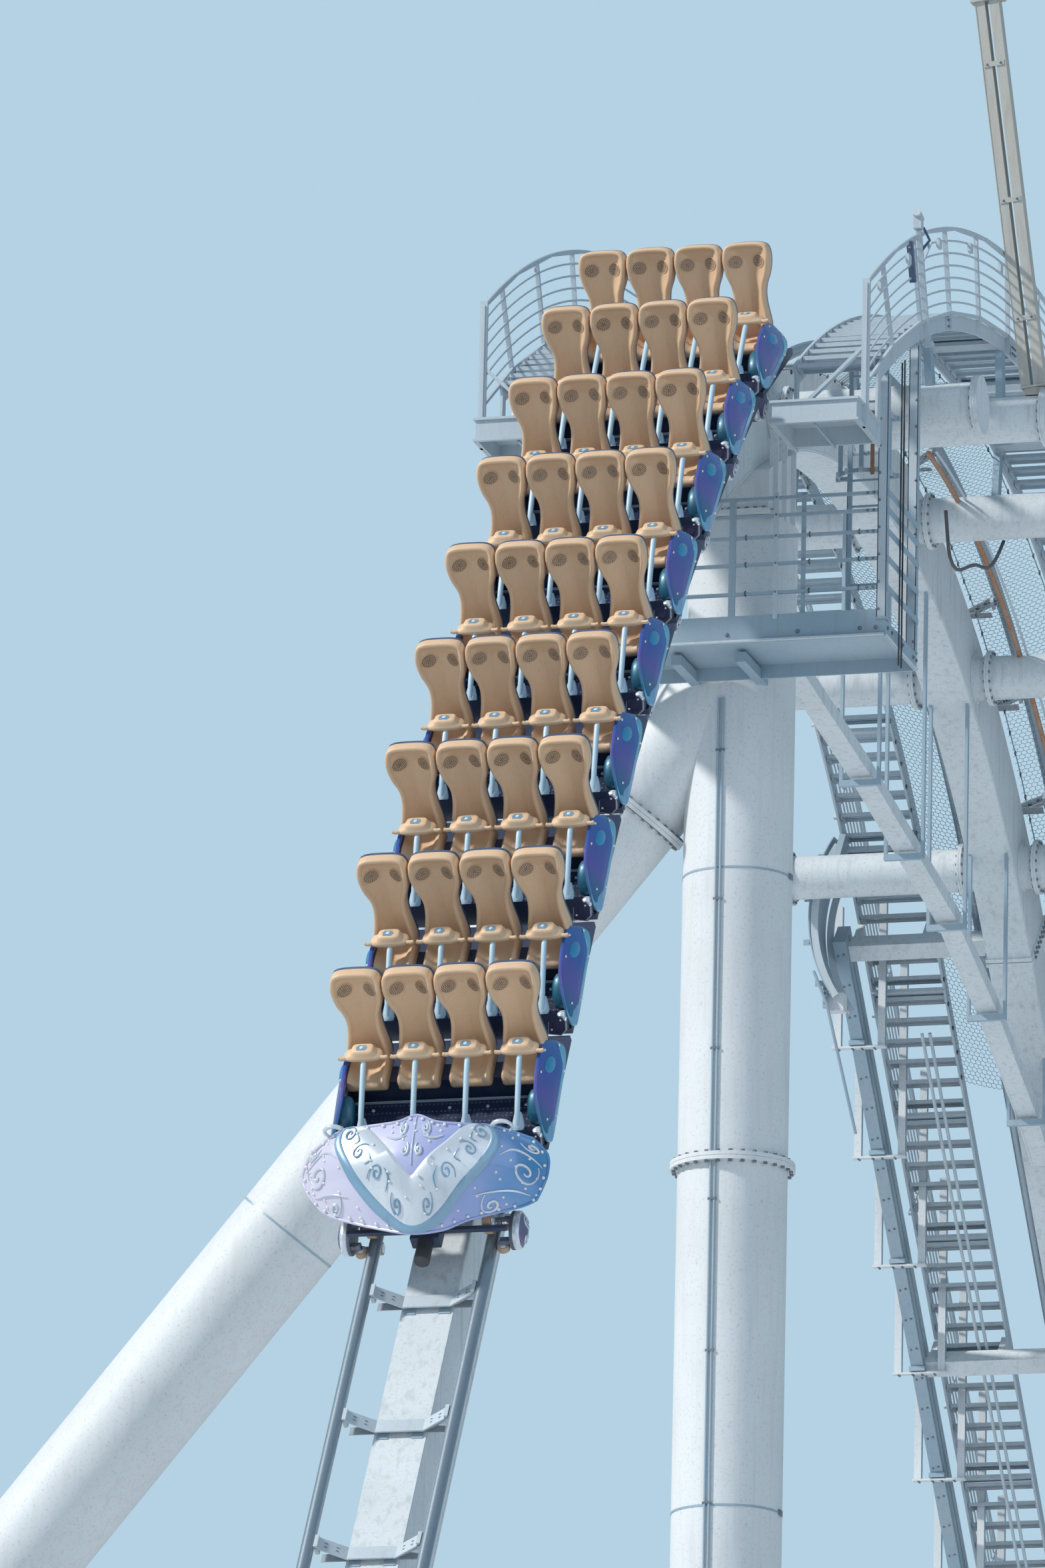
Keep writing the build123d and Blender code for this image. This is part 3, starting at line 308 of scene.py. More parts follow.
def mixed(tree, factor, first, second):
    return node(tree, "Mix", [(0, factor), (6, first), (7, second)], data_type="RGBA").outputs[2]


def spread(tree, value, low, high):
    return node(tree, "MapRange", [(0, value), (1, low), (2, high)]).outputs[0]


def noise(tree, place, scale, detail):
    links = [("Vector", place), ("Scale", scale), ("Detail", detail)]
    return node(tree, "TexNoise", links).outputs[0]


COLOUR, VALUE = "NodeSocketColor", "NodeSocketFloat"

# Weathered paint: broad fading, fine speckle and streaks that run down
weather, given, result = new_group(
    "weathered paint",
    [("Paint", COLOUR, (0.8, 0.8, 0.8, 1)), ("Dirt", COLOUR, (0.3, 0.27, 0.24, 1)),
     ("Streaks", VALUE, 0.3), ("Speckle", VALUE, 0.2), ("Fading", VALUE, 0.2),
     ("Size", VALUE, 1.0)],
    [("Colour", COLOUR), ("Grime", VALUE), ("Height", VALUE)],
)
place = node(weather, "TexCoord").outputs["Object"]
sized = node(weather, "VectorMath", [(0, place), ("Scale", given.outputs["Size"])],
             operation="SCALE").outputs[0]
long = node(weather, "Mapping", [("Vector", sized), ("Scale", (9.0, 9.0, 0.7))]).outputs[0]
speck = noise(weather, sized, 70.0, 3.0)
streaks, clouds, specks = (
    maths(weather, "MULTIPLY", spread(weather, source, low, high), given.outputs[amount])
    for source, low, high, amount in (
        (noise(weather, long, 3.0, 4.0), 0.52, 0.72, "Streaks"),
        (noise(weather, sized, 2.2, 5.0), 0.35, 0.7, "Fading"), (speck, 0.55, 0.75, "Speckle")))
grime = maths(weather, "MAXIMUM", streaks, specks)
faded = mixed(weather, clouds, given.outputs["Paint"], (0.52, 0.55, 0.57, 1))
fill_inputs(weather, result, [("Colour", mixed(weather, grime, faded, given.outputs["Dirt"])),
                              ("Grime", grime), ("Height", speck)])

# Dots: round studs of a non-slip sheet, over any plane
dots, given, result = new_group(
    "non-slip dots",
    [("Ground", COLOUR, (0.02, 0.03, 0.06, 1)), ("Dot", COLOUR, (0.1, 0.12, 0.2, 1)),
     ("Spacing", VALUE, 0.02)],
    [("Colour", COLOUR), ("Height", VALUE)],
)
place = node(dots, "TexCoord").outputs["Object"]
cells = node(dots, "TexVoronoi", [
    ("Vector", place), ("Scale", maths(dots, "DIVIDE", 1.0, given.outputs["Spacing"])),
    ("Randomness", 0.15)])
mask = spread(dots, cells.outputs["Distance"], 0.34, 0.24)
fill_inputs(dots, result, [
    ("Colour", mixed(dots, mask, given.outputs["Ground"], given.outputs["Dot"])), ("Height", mask)])

# Colour sweep: four colours along one value, softened by a slow noise
ranks = ("First", "Second", "Third", "Fourth")
sweep, given, result = new_group(
    "colour sweep",
    [("Place", VALUE, 0.0), *((rank, COLOUR, (1, 1, 1, 1)) for rank in ranks),
     ("Wander", VALUE, 0.15)],
    [("Colour", COLOUR)],
)
drift = noise(sweep, node(sweep, "TexCoord").outputs["Object"], 5.0, 1.0)
drift = maths(sweep, "MULTIPLY", maths(sweep, "SUBTRACT", drift, 0.5), given.outputs["Wander"])
where = maths(sweep, "ADD", given.outputs["Place"], drift)
colour = given.outputs["First"]
for number, rank in enumerate(ranks[1:]):
    step = spread(sweep, where, number / 3, (number + 1) / 3)
    colour = mixed(sweep, step, colour, given.outputs[rank])
fill_inputs(sweep, result, [("Colour", colour)])


def shader(name, roughness=0.5, metallic=0.0, coat=0.0, colour=(0.8, 0.8, 0.8)):
    material = bpy.data.materials.new(name)
    material.use_nodes = True
    tree = material.node_tree
    principled = tree.nodes["Principled BSDF"]
    fill_inputs(tree, principled, [("Roughness", roughness), ("Metallic", metallic),
                                   ("Coat Weight", coat), ("Base Color", (*colour, 1))])
    material.diffuse_color = (*colour, 1)
    return material, tree, principled


def use_group(tree, group, values):
    made = tree.nodes.new("ShaderNodeGroup")
    made.node_tree = group
    return fill_inputs(tree, made, values.items())


def bumped(tree, principled, height, strength):
    bump = node(tree, "Bump", [("Height", height), ("Strength", strength), ("Distance", 0.002)])
    tree.links.new(bump.outputs[0], principled.inputs["Normal"])


dust = (0.28, 0.25, 0.22)


def painted(name, colour, dirt=dust, streaks=0.3, speckle=0.2, fading=0.2, roughness=0.5,
            metallic=0.0, size=1.0, bump=0.15):
    """Weathered paint or metal in one colour."""
    material, tree, principled = shader(name, roughness, metallic, 0.0, colour)
    worn = use_group(tree, weather, {
        "Paint": (*colour, 1), "Dirt": (*dirt, 1), "Streaks": streaks, "Speckle": speckle,
        "Fading": fading, "Size": size})
    rough = maths(tree, "MULTIPLY_ADD", worn.outputs["Grime"], 0.3, roughness)
    fill_inputs(tree, principled, [("Base Color", worn.outputs["Colour"]), ("Roughness", rough)])
    bumped(tree, principled, worn.outputs["Height"], bump)
    return material


# Each paint: colour, dirt, then streaks, speckle, fading, roughness, metallic, size and bump
white_paint = painted("column paint", (0.74, 0.77, 0.79), dust, 0.12, 0.3, 0.25, 0.55)
track_paint = painted("track paint", (0.70, 0.75, 0.78), (0.24, 0.23, 0.22), 0.3, 0.35, 0.35)
# Steelwork: blue-grey paint, darkened further as painted shade, the shade under the platform deck
steelwork_painted_shade = painted("steelwork paint", (0.33, 0.45, 0.54), dust, 0.22, 0.25, 0.3, 0.42, 0.15)
light_steel = painted("walkway steel", (0.54, 0.62, 0.68), dust, 0.2, 0.2, 0.35, 0.45, 0.1)
tie_paint = painted("tie paint", (0.36, 0.40, 0.44), dust, 0.35, 0.4, 0.3, 0.55)
# Rail steel: grey steel darkened as painted shadow, the train's shadow on the rails; the lightning
# rod and the mast's rings share it
rail_steel_painted_shadow = painted("rail steel", (0.34, 0.41, 0.47), (0.2, 0.19, 0.19), 0.15, 0.35, 0.2, 0.33,
                     0.75, 1.5)
bolt_steel = painted("bolt steel", (0.20, 0.23, 0.26), (0.16, 0.09, 0.05), 0.0, 0.5, 0.2, 0.45,
                     0.5, 3)
mast_paint = painted("mast paint", (0.52, 0.50, 0.45), dust, 0.3, 0.25, 0.3)
rusty = painted("rusty steel", (0.42, 0.20, 0.10), (0.16, 0.07, 0.04), 0.6, 0.7, 0.3, 0.8, 0, 3)
wire_steel = painted("wire steel", (0.34, 0.42, 0.47), dust, 0.1, 0.3, metallic=0.5)
black_cable = painted("cable black", (0.015, 0.017, 0.02), (0.1, 0.1, 0.1), 0.1, 0.2)
soft_tan = painted("seat tan", (0.76, 0.51, 0.32), (0.36, 0.20, 0.11), 0.1, 0.16, 0, 0.5, 0, 2, 0.1)
pad_tan = painted("pad tan", (0.80, 0.55, 0.35), (0.4, 0.23, 0.13), 0.08, 0.15, 0, 0.45, 0, 2, 0.1)
# Dark of the grille holes: painted shade of the hollow behind them
grille_holes_painted_shade = painted("grille dark", (0.06, 0.035, 0.025), dust, 0, 0.2, roughness=0.8)
shell_navy = painted("shell navy", (0.05, 0.085, 0.17), (0.2, 0.22, 0.28), 0.2, 0.2, 0.1, 0.35)
bar_blue = painted("bar blue", (0.55, 0.74, 0.86), (0.3, 0.4, 0.5), 0.15, 0.1, 0.1, 0.35)
plate_blue = painted("plate blue", (0.20, 0.36, 0.50), (0.5, 0.6, 0.7), 0.1, 0.15, 0.2, 0.35, 0.3)
tyre_tan = painted("tyre tan", (0.50, 0.33, 0.22), (0.12, 0.08, 0.06), 0.1, 0.4, 0.2, 0.7, 0, 3)
silver = painted("silver gloss", (0.74, 0.79, 0.85), (0.3, 0.33, 0.4), 0.15, 0.12, 0.1, 0.25, 0.35)
# Silver in painted shade: the bluish colour of the silver in shadow, for the band's outer rim and
# the lines drawn on the band
silver_painted_shade = painted("silver shade", (0.24, 0.42, 0.58), (0.1, 0.14, 0.2), 0.15, 0.2, 0.2, 0.3,
                       0.3)
navy = painted("chassis navy", (0.02, 0.035, 0.085), (0.1, 0.12, 0.16), 0.15, 0.25, 0.05, 0.4)
dark_grey = painted("bogie grey", (0.10, 0.12, 0.17), (0.02, 0.02, 0.02), 0.3, 0.4, 0.2, 0.5, 0.3)
rubber = painted("bumper rubber", (0.006, 0.006, 0.008), (0.04, 0.04, 0.045), 0.2, 0.3, 0.2, 0.65)
pearl, _, _ = shader("pearl stud", 0.15, 0.1, 0.6, (0.86, 0.86, 0.84))
steel_edge, _, _ = shader("bright edge", 0.3, 0.4, 0.2, (0.62, 0.76, 0.84))

footwell, tree, principled = shader("footwell sheet", 0.45)
studs = use_group(tree, dots, {"Ground": (0.012, 0.022, 0.06, 1), "Dot": (0.07, 0.10, 0.19, 1),
                               "Spacing": 0.022})
tree.links.new(studs.outputs["Colour"], principled.inputs["Base Color"])
bumped(tree, principled, studs.outputs["Height"], 0.4)


def swept(name, axis, wander, colours, roughness=0.22):
    """Gloss paint that sweeps through four colours along one axis of the piece's UV map."""
    material, tree, principled = shader(name, roughness, 0.15, 0.5, colours[1])
    uv = node(tree, "UVMap", uv_map="UVMap").outputs[0]
    value = node(tree, "SeparateXYZ", [(0, uv)]).outputs[axis]
    sweeping = use_group(tree, sweep, {"Place": value, "Wander": wander,
                                       **{rank: (*c, 1) for rank, c in zip(ranks, colours)}})
    tree.links.new(sweeping.outputs[0], principled.inputs["Base Color"])
    return material


panel_gloss = swept("panel gloss", 0, 0.35, ((0.02, 0.17, 0.30), (0.12, 0.11, 0.42),
                                             (0.02, 0.10, 0.42), (0.02, 0.15, 0.46)))
panel_rim = swept("panel rim", 0, 0.4, ((0.22, 0.45, 0.66), (0.30, 0.50, 0.74),
                                        (0.20, 0.52, 0.72), (0.12, 0.46, 0.66)))
dish_gloss = swept("dish gloss", 1, 0.4, ((0.04, 0.32, 0.50), (0.05, 0.38, 0.58),
                                          (0.03, 0.30, 0.55), (0.02, 0.24, 0.50)))
# The nose paint sweeps from violet to deep blue across the shield, and those colours are the
# paint's own; its near-white lavender end at the right tip (-x), the key light's side, is painted
# sunlight.
nose_field_painted_sunlight = swept("nose gloss", 0, 0.3, ((0.76, 0.72, 0.85), (0.66, 0.65, 0.84),
                                          (0.36, 0.42, 0.74), (0.05, 0.28, 0.56)))
cover_gloss = swept("cover gloss", 1, 0.5, ((0.06, 0.06, 0.12), (0.10, 0.08, 0.17),
                                            (0.14, 0.12, 0.24), (0.20, 0.22, 0.36)), 0.3)
# The cap's teal is its own colour, darkened further as painted shade for the shadow it sits in
teal_cap_painted_shade = swept("cap gloss", 1, 0.4, ((0.01, 0.06, 0.11), (0.01, 0.10, 0.17),
                                         (0.01, 0.14, 0.22), (0.01, 0.10, 0.18)), 0.4)

# Finishes of the CAD nodes that show as they are
for material, names in (
        (white_paint, "column_head front_support rear_support"),
        (track_paint, "lift_spine crest_spine drop_spine return_trough stair_arms"),
        (steelwork_painted_shade, "trough_hangers catwalk_brackets left_stair_beam right_stair_beam stair_guard "
                    "service_platform platform_posts platform_railing caged_ladder"),
        (light_steel, "left_catwalk right_catwalk left_railing right_railing left_lift_stair "
                      "right_lift_stair left_stair_railing right_stair_railing"),
        (mast_paint, "mast"), (rail_steel_painted_shadow, "lightning_rod"), (navy, "train_chassis"),
        (rubber, "bumper")):
    for name in names.split():
        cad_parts[name].data.materials.clear()
        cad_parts[name].data.materials.append(material)


# Main column, its leg and their flanges
def flange(shape, z):
    """A bolted pair of rings round a column's tube, with nuts above and below."""
    rim = 0.347
    shape.lathe([(0.295, z - 0.022), (rim, z - 0.022), (rim, z - 0.0015), (rim - 0.004, z),
                 (rim, z + 0.0015), (rim, z + 0.022), (0.295, z + 0.022)], 96, caps=False)
    for at in circle((rim + tube_radius) / 2, 30, 0.5):
        shape.lathe([(0.012, z - 0.035), (0.012, z + 0.035)], 6, 1, at=at)


def weld_band(shape, z):
    """A low ring round a column's tube, over a weld."""
    shape.lathe([(0.304, z - 0.006), (0.3075, z - 0.006), (0.3075, z + 0.006),
                 (0.304, z + 0.006)], 96, 2, caps=False)


tube_radius, foot_plate = 0.305, 0.045
column = Shape()
column.lathe([(0.49, 0), (0.49, 0.04), (0.485, foot_plate), (tube_radius, foot_plate),
              (tube_radius, 20.45)], 96)
for z in (8.2, 16.79):
    flange(column, z)
for z in (18.43, 14.84, 11.4, 5.1):
    weld_band(column, z)
    column.box((0.3095, -0.02, z), (0.012, 0.05, 0.03), 1)
# ribs round the foot plate; each bolt is set in the frame of the rib before it
for n, at in enumerate(circle(0.41, 16, 0.5)):
    column.bolts([at], 0.02, 0.025, 1, foot_plate)
    column.on(rotated(2 * pi * (n + 0.5) / 16, "Z"))
    column.loft([[(0.3, y, foot_plate), (0.38, y, foot_plate), (0.3, y, 0.2)]
                 for y in (-0.008, 0.008)])
column.on()
# two pipes on clips up the column's front
for x in (-0.02, -0.045):
    column.tube([(x, -0.312, 12.0), (x, -0.312, 19.4)], 0.007, 8, 2)
for n in range(9):
    column.box((-0.032, -0.312, 12.3 + 0.85 * n), (0.05, 0.014, 0.012), 1)
leg_angle, leg_meets, stub_end = radians(39.6), 19.61, 0.955
leg_along = Vector((-sin(leg_angle), 0, -cos(leg_angle)))
leg_frame = pointing((0, 0, leg_meets), Vector((0, 0, leg_meets)) + leg_along)
column.on(leg_frame).lathe([(tube_radius, 0.1), (tube_radius, stub_end)], 96)
flange(column, stub_end)
column.make("column", (white_paint, bolt_steel, steelwork_painted_shade),
            instead=("main_column_lower", "main_column_upper"))
leg = Shape().on(leg_frame)
# the leg's tube is cut level just over the ground
leg_round = circle(tube_radius, 96)
leg.loft([[(x, y, 0.98) for x, y in leg_round],
          [(x, y, ((leg_frame @ Vector((x, y, 0))).z - 0.02) / cos(leg_angle))
           for x, y in leg_round]])
flange(leg, (stub_end + leg_meets / cos(leg_angle)) / 2)
for z in (4.0, 8.2, 19.0):
    weld_band(leg, z)
leg.on(moved((-leg_meets * tan(leg_angle), 0, 0)))
leg.plate(circle(0.6, 48, other=0.49), 0, foot_plate)
leg.bolts(circle(0.53, 16, 0.5, 0.43), 0.02, 0.025, 1, foot_plate)
leg.make("brace_leg", (white_paint, bolt_steel, steelwork_painted_shade),
         instead=("brace_leg_upper", "brace_leg_lower"))

# Saddle between the column and the spine: bolted plates and stiffeners
saddle, ledge = Shape(), 20.474
for x in (-0.221, 0.221):
    for y in (-0.2, 0.0, 0.2):
        saddle.box((x, y, 20.72), (0.05, 0.012, 0.5))
    saddle.box((x * 1.02, 0, ledge - 0.012), (0.07, 0.6, 0.024))
    saddle.bolts([(x * 1.04, -0.26 + 0.065 * n) for n in range(9)], 0.012, 0.014, 1, ledge)
saddle.box((0, -0.318, ledge - 0.012), (0.46, 0.07, 0.024))
saddle.bolts([(-0.2 + 0.05 * n, -0.33) for n in range(9)], 0.012, 0.014, 1, ledge)
saddle.make("saddle_plates", (white_paint, bolt_steel))


# Platform posts: bolted channels from the platform up to the catwalk
def under_catwalk(y):
    """Height of the catwalk's underside over the front of the crest."""
    return apex - crest_radius + ((crest_radius + 0.036) ** 2 - (offset - y) ** 2) ** 0.5


deck, post_x = 19.575, 1.068
posts = Shape()
for y, bolt_side in ((-1.075, -1), (-0.385, 1)):
    top = under_catwalk(y - 0.03) - 0.006
    middle, length = (deck + top) / 2, top - deck
    posts.box((post_x, y - 0.0225, middle), (0.052, 0.005, length), 1)
    for x in (-0.0245, 0.0245):
        posts.box((post_x + x, y, middle), (0.005, 0.05, length))
    posts.box((post_x, y - 0.002, deck + 0.006), (0.062, 0.062, 0.012))
    posts.box((post_x, y, top - 0.03), (0.056, 0.036, 0.06))
    posts.on(moved((post_x, y - 0.025, 0)) @ to_front)
    posts.bolts([(0.017 * bolt_side, deck + 0.06 + 0.155 * n) for n in range(int(length / 0.155))],
                0.006, 0.007, 2)
    posts.on()
posts.make("platform_channels", (steelwork_painted_shade, light_steel, bolt_steel), instead=("platform_posts",))

# Platform railing: flat rails between the posts, cable ties, uprights and bolts
fittings = Shape()
railing_front = moved((0, -1.1, 0)) @ to_front
rail_heights = [deck + height for height in (0.185, 0.35, 0.505, 0.625, 0.725)]
for z in rail_heights:
    fittings.box((post_x + 0.03, -0.73, z), (0.006, 0.72, 0.036))
    fittings.on(railing_front).bolts([(1.02, z), (0.985, z)], 0.006, 0.008, 2)
    fittings.on()
    for x in (0.94, 0.66, 0.3, -0.2) if z < deck + 0.55 else ():
        loop = [(x, -1.0985 + b, z + a) for a, b in circle(0.014, 8)]
        fittings.tube(loop + loop[:1], 0.0035, 5, 3)
for x, y, slot in ((0.47, -1.106, 1), (0.62, -1.078, 0), (-0.3, -1.106, 1)):
    fittings.box((x, y, deck + 0.39), (0.026, 0.005, 0.72), slot)
    fittings.on(moved((0, y - 0.0025, 0)) @ to_front)
    fittings.bolts([(x, z) for z in rail_heights], 0.005, 0.005, 2)
    fittings.on()
fittings.box((0.22, -1.112, deck - 0.088), (1.74, 0.03, 0.010), 1)
fittings.box((1.097, -0.73, deck - 0.088), (0.012, 0.74, 0.010), 1)
fittings.on(moved((1.093, 0, 0)) @ rotated(pi / 2, "Y"))
fittings.bolts([(0.04 - deck, y) for y in (-1.05, -0.95, -0.7, -0.45, -0.38)], 0.009, 0.008, 2)
fittings.on(railing_front)
fittings.bolts([(x, deck - 0.045) for x in (-0.6, -0.2, 0.2, 0.6, 0.95, 1.04)], 0.009, 0.008, 2)
fittings.on()
for y in (-0.86, -0.80):
    fittings.tube([(1.112, y, deck - 0.2), (1.112, y, deck + 0.5),
                   (1.108, y + 0.01, under_catwalk(y) - 0.01)], 0.005, 6, 3)
fittings.make("platform_fittings", (steelwork_painted_shade, light_steel, bolt_steel, black_cable))

# Ladder: clips on its hoops, one rusted strap and a cable
clips = Shape()
for height in (0.9, 1.23):
    for k in range(7):
        t = radians(-180 + 30 * k)
        clips.box((0.9 + 0.171 * cos(t), -0.76 + 0.171 * sin(t), deck + height + 0.011),
                  (0.02, 0.02, 0.03))
clips.box((0.965, -0.928, deck + 1.06), (0.022, 0.006, 0.36), 1)
clips.tube([(0.79, -0.75, deck + 0.1), (0.785, -0.752, deck + 0.7), (0.79, -0.75, deck + 1.25)],
           0.006, 6, 2)
clips.make("ladder_straps", (light_steel, rusty, black_cable))

# Stairs: hanging channel posts with bolted feet, bolts under the beam, wires and pipes
to_below = rotated(pi, "X")
for side, name in sides:
    hung = Shape()
    beam_x = side * 1.1333
    for k in range(11):
        foot = on_track(-lift_arc - (0.35 if side > 0 else 0.75) - 0.8 * k, beam_x, -0.268)
        hung.on(moved(foot))
        for x, tall in ((-0.15, 1.25), (0.13, 0.9)):
            hung.box((side * x, 0, tall / 2), (0.046, 0.006, tall), 4)
            for edge in (-0.021, 0.021):
                hung.box((side * x + edge, 0.018, tall / 2), (0.005, 0.036, tall))
        hung.box((-side * 0.01, 0, -0.006), (0.34, 0.055, 0.012), 4)
        hung.on(moved(foot) @ moved((0, 0, -0.012)) @ to_below)
        hung.bolts([(x, y) for x in (-0.12, -0.03, 0.03, 0.11) for y in (-0.014, 0.014)],
                   0.006, 0.008, 2)
        hung.on(moved(foot)).box((0, -0.02, 0.02), (0.10, 0.03, 0.03))
    for k in range(40):
        hung.on(track(-lift_arc - 0.1 - 0.222 * k) @ moved((beam_x, 0, -0.26)) @ to_below)
        hung.bolts([(-0.018, 0), (0.018, 0.01)], 0.006, 0.005, 2)
    hung.on()
    for drop, radius in ((-0.155, 0.0072), (-0.23, 0.0036)):
        hung.tube([on_track(d, beam_x - side * 0.043, drop)
                   for d in (-lift_arc - 0.02, track_start + 0.02)], radius, 5, 3)
    for x in (0.72, 0.77):
        hung.tube([on_track(d, side * x, -0.06) for d in (-lift_arc - 0.8, track_start + 0.05)],
                  0.011, 8, 1)
    hung.make(name + "_stair_hangers",
              (steelwork_painted_shade, light_steel, bolt_steel, wire_steel, white_paint))


# Guard: inner bands, ribs, clamps and the bolted box at its foot
def on_guard(angle, radius, y):
    """Point on the guard's round, at an angle in degrees over its middle."""
    t = radians(angle)
    return Vector((-0.3353 - radius * cos(t), y, 19.90 + radius * sin(t)))


ribs = Shape()
for y in (6.575, 6.985):
    ribs.loft([[on_guard(-33 + 2.75 * k, r, y + e) for k in range(25)]
               for r, e in ((0.899, -0.004), (0.855, -0.004), (0.855, 0.004), (0.899, 0.004))],
              1, closed=False)
for angle in (26, 9, -8, -25):
    ribs.tube([on_guard(angle, 0.918, y) for y in (6.57, 6.99)], 0.008, 6)
    ribs.box(on_guard(angle, 0.93, 6.585), (0.05, 0.012, 0.035))
ribs.box(on_guard(-34, 0.90, 6.66), (0.10, 0.09, 0.11), 2)
ribs.box(on_guard(-30, 0.93, 6.60), (0.03, 0.03, 0.16))
ribs.on(moved(on_guard(-30, 0.93, 6.585)) @ to_front)
ribs.bolts([(0, -0.05 + 0.03 * k) for k in range(4)], 0.007, 0.008, 3)
bend = on_guard(-34, 0.95, 6.56)
ribs.on().tube([on_guard(-20, 0.93, 6.56), bend, bend + Vector((0.12, 0.3, -0.75))], 0.010, 6)
ribs.make("guard_ribs", (steelwork_painted_shade, light_steel, white_paint, bolt_steel))

# Wire netting between the rails' ties and the walkways, of six-sided meshes with cable ties
cell, net_low, net_wide = 0.034, 0.18, 0.41
fork, row_step = cell * 0.58, cell * 0.87
net_start, net_end = over_crest(-19.0), -lift_arc - 1.2
for side, name in sides:
    net = Shape()

    def at_net(d, x):
        share = (x - net_low) / net_wide
        sag = 0.02 * sin(pi * share) - 0.005 * sin(9 * d)
        return on_track(d, side * x, -0.14 + 0.16 * share - sag)

    place, number = net_start, 0
    while place > net_end:
        for k in range(12):
            x = net_low + cell * k + (0.017 if number % 2 else 0)
            split = at_net(place - fork, x)
            net.tube([at_net(place, x), split], 0.0019, 3)
            for way in (-0.017, 0.017):
                net.tube([split, at_net(place - row_step, x + way)], 0.0019, 3)
        for x in (net_low, net_low + net_wide) if number % 6 == 0 else ():
            loop = [at_net(place, x) + Vector((0, b, a)) for a, b in circle(0.014, 6)]
            net.tube(loop + loop[:1], 0.004, 4, 1)
        place -= row_step
        number += 1
    for x in (net_low, net_low + net_wide):
        net.tube([at_net(net_start + (net_end - net_start) * k / 90, x) for k in range(91)],
                 0.004, 5)
    net.make(name + "_wire_netting", (wire_steel, black_cable))

# Cable loop, rusted conduit and a pale pipe under the crest
lines = Shape()
loop = [Vector((0.62, y, z)) for y, z in (
    (2.25, 21.18), (2.31, 21.02), (2.35, 20.93), (2.52, 20.885), (2.78, 20.985), (3.03, 21.08),
    (3.32, 21.12), (3.54, 21.25), (3.72, 21.41))]
line = loop[:1]
for a, b, c in zip(loop, loop[1:], loop[2:]):
    line += [(a + 6 * b + c) / 8, (b + c) / 2]
lines.tube(line + loop[-1:], 0.011, 8)
for x, radius, slot in ((0.42, 0.016, 1), (0.47, 0.008, 2)):
    lines.tube([on_track(over_crest(2 + 1.6 * k), x, -0.30) for k in range(28)], radius, 8, slot)
lines.make("crest_conduits", (black_cable, rusty, light_steel))

# Signal post on the left catwalk: leaning pole, slim box, brace and head; lamps on the railing
signal = Shape()
signal_x = 1.092
foot, top = Vector((signal_x, -0.185, 21.40)), Vector((signal_x, -0.44, 22.00))
signal.bar(foot, top, 0.030, 0.024)
signal.bar((signal_x, -0.56, 21.665), (signal_x, -0.655, 21.875), 0.034, 0.030, 1)
for z in (21.71, 21.84):
    share = (z - foot.z) / (top.z - foot.z)
    signal.tube([foot.lerp(top, share), (signal_x, -0.58 - 0.6 * (z - 21.71), z)], 0.006, 6)
signal.bar((signal_x, -0.333, 21.86), (signal_x, -0.15, 22.03), 0.016, 0.012)
signal.box((signal_x, -0.455, 22.045), (0.045, 0.055, 0.075))
signal.tube([(signal_x, -0.415, 22.075), (signal_x, -0.50, 22.095)], 0.024, 12)
signal.tube([(1.10, -0.40, 21.90), (1.135, -0.36, 21.97), (1.11, -0.41, 22.03)], 0.008, 8, 1)
signal.box((signal_x, -0.185, 21.42), (0.06, 0.05, 0.02))
for y, z in ((-1.362, 21.398), (-0.723, 21.75), (-0.005, 22.062), (0.749, 22.27), (1.498, 22.38),
             (2.295, 22.402)):
    signal.box((1.104, y, z), (0.020, 0.062, 0.050))
    signal.box((1.096, y + 0.035, z - 0.01), (0.012, 0.03, 0.02))
signal.make("signal_post", (light_steel, shell_navy))

# Mast: clamp rings, slot plates, battens and the cone on its rod
lean, tilt = radians(6.1), slope(over_crest(-6.0))
mast_z = Vector((-sin(lean), -sin(tilt) * cos(lean), cos(tilt) * cos(lean)))
mast_x = Vector((cos(lean), -sin(tilt) * sin(lean), cos(tilt) * sin(lean)))
mast_frame = frame_of(on_track(over_crest(-6.0), 1.275, -0.365),
                      mast_x, mast_z.cross(mast_x), mast_z)
fitted = Shape().on(mast_frame)
top = 2.4864
for z, radius in ((top + 0.03, 0.030), (top + 0.37, 0.022)):
    fitted.lathe([(0.013, z - 0.012), (radius, z - 0.012), (radius, z + 0.012),
                  (0.013, z + 0.012)], 16)
    fitted.box((radius, 0, z), (0.022, 0.014, 0.02), 1)
fitted.lathe([(0.020, top + 0.385), (0.020, top + 0.40), (0.009, top + 0.425)], 16)
for z in (top - 0.39, top - 1.2, top - 1.9):
    fitted.box((0, -0.047, z), (0.12, 0.006, 0.030), 2)
    fitted.on(mast_frame @ to_front).bolts([(-0.04, z), (0.04, z)], 0.006, 0.006, 1, 0.05)
    fitted.on(mast_frame)
for x in (-0.069, 0.069):
    fitted.box((x, -0.046, 1.35), (0.004, 0.004, 2.26), 2)
fitted.make("mast_fittings", (rail_steel_painted_shadow, bolt_steel, mast_paint))

# Feet of the end supports
feet = Shape()
for place in (17.9, -11.9):
    y, z = on_track(place, 0, -0.59).yz
    low = z - 0.26 - 0.2436 * abs(tan(slope(place)))
    foot = 0.1215 + (low + 0.13) * tan(radians(11))
    for side in (-1, 1):
        feet.bolts([(side * foot + a, y + b) for a, b in circle(0.33, 12)], 0.018, 0.022,
                   z=foot_plate)
feet.make("support_foot_bolts", (bolt_steel,))


def whole_track(count, margin=0.0):
    """Even distances from one end of the track to the other."""
    length = track_end - track_start - 2 * margin
    return [track_start + margin + length * n / count for n in range(count + 1)]


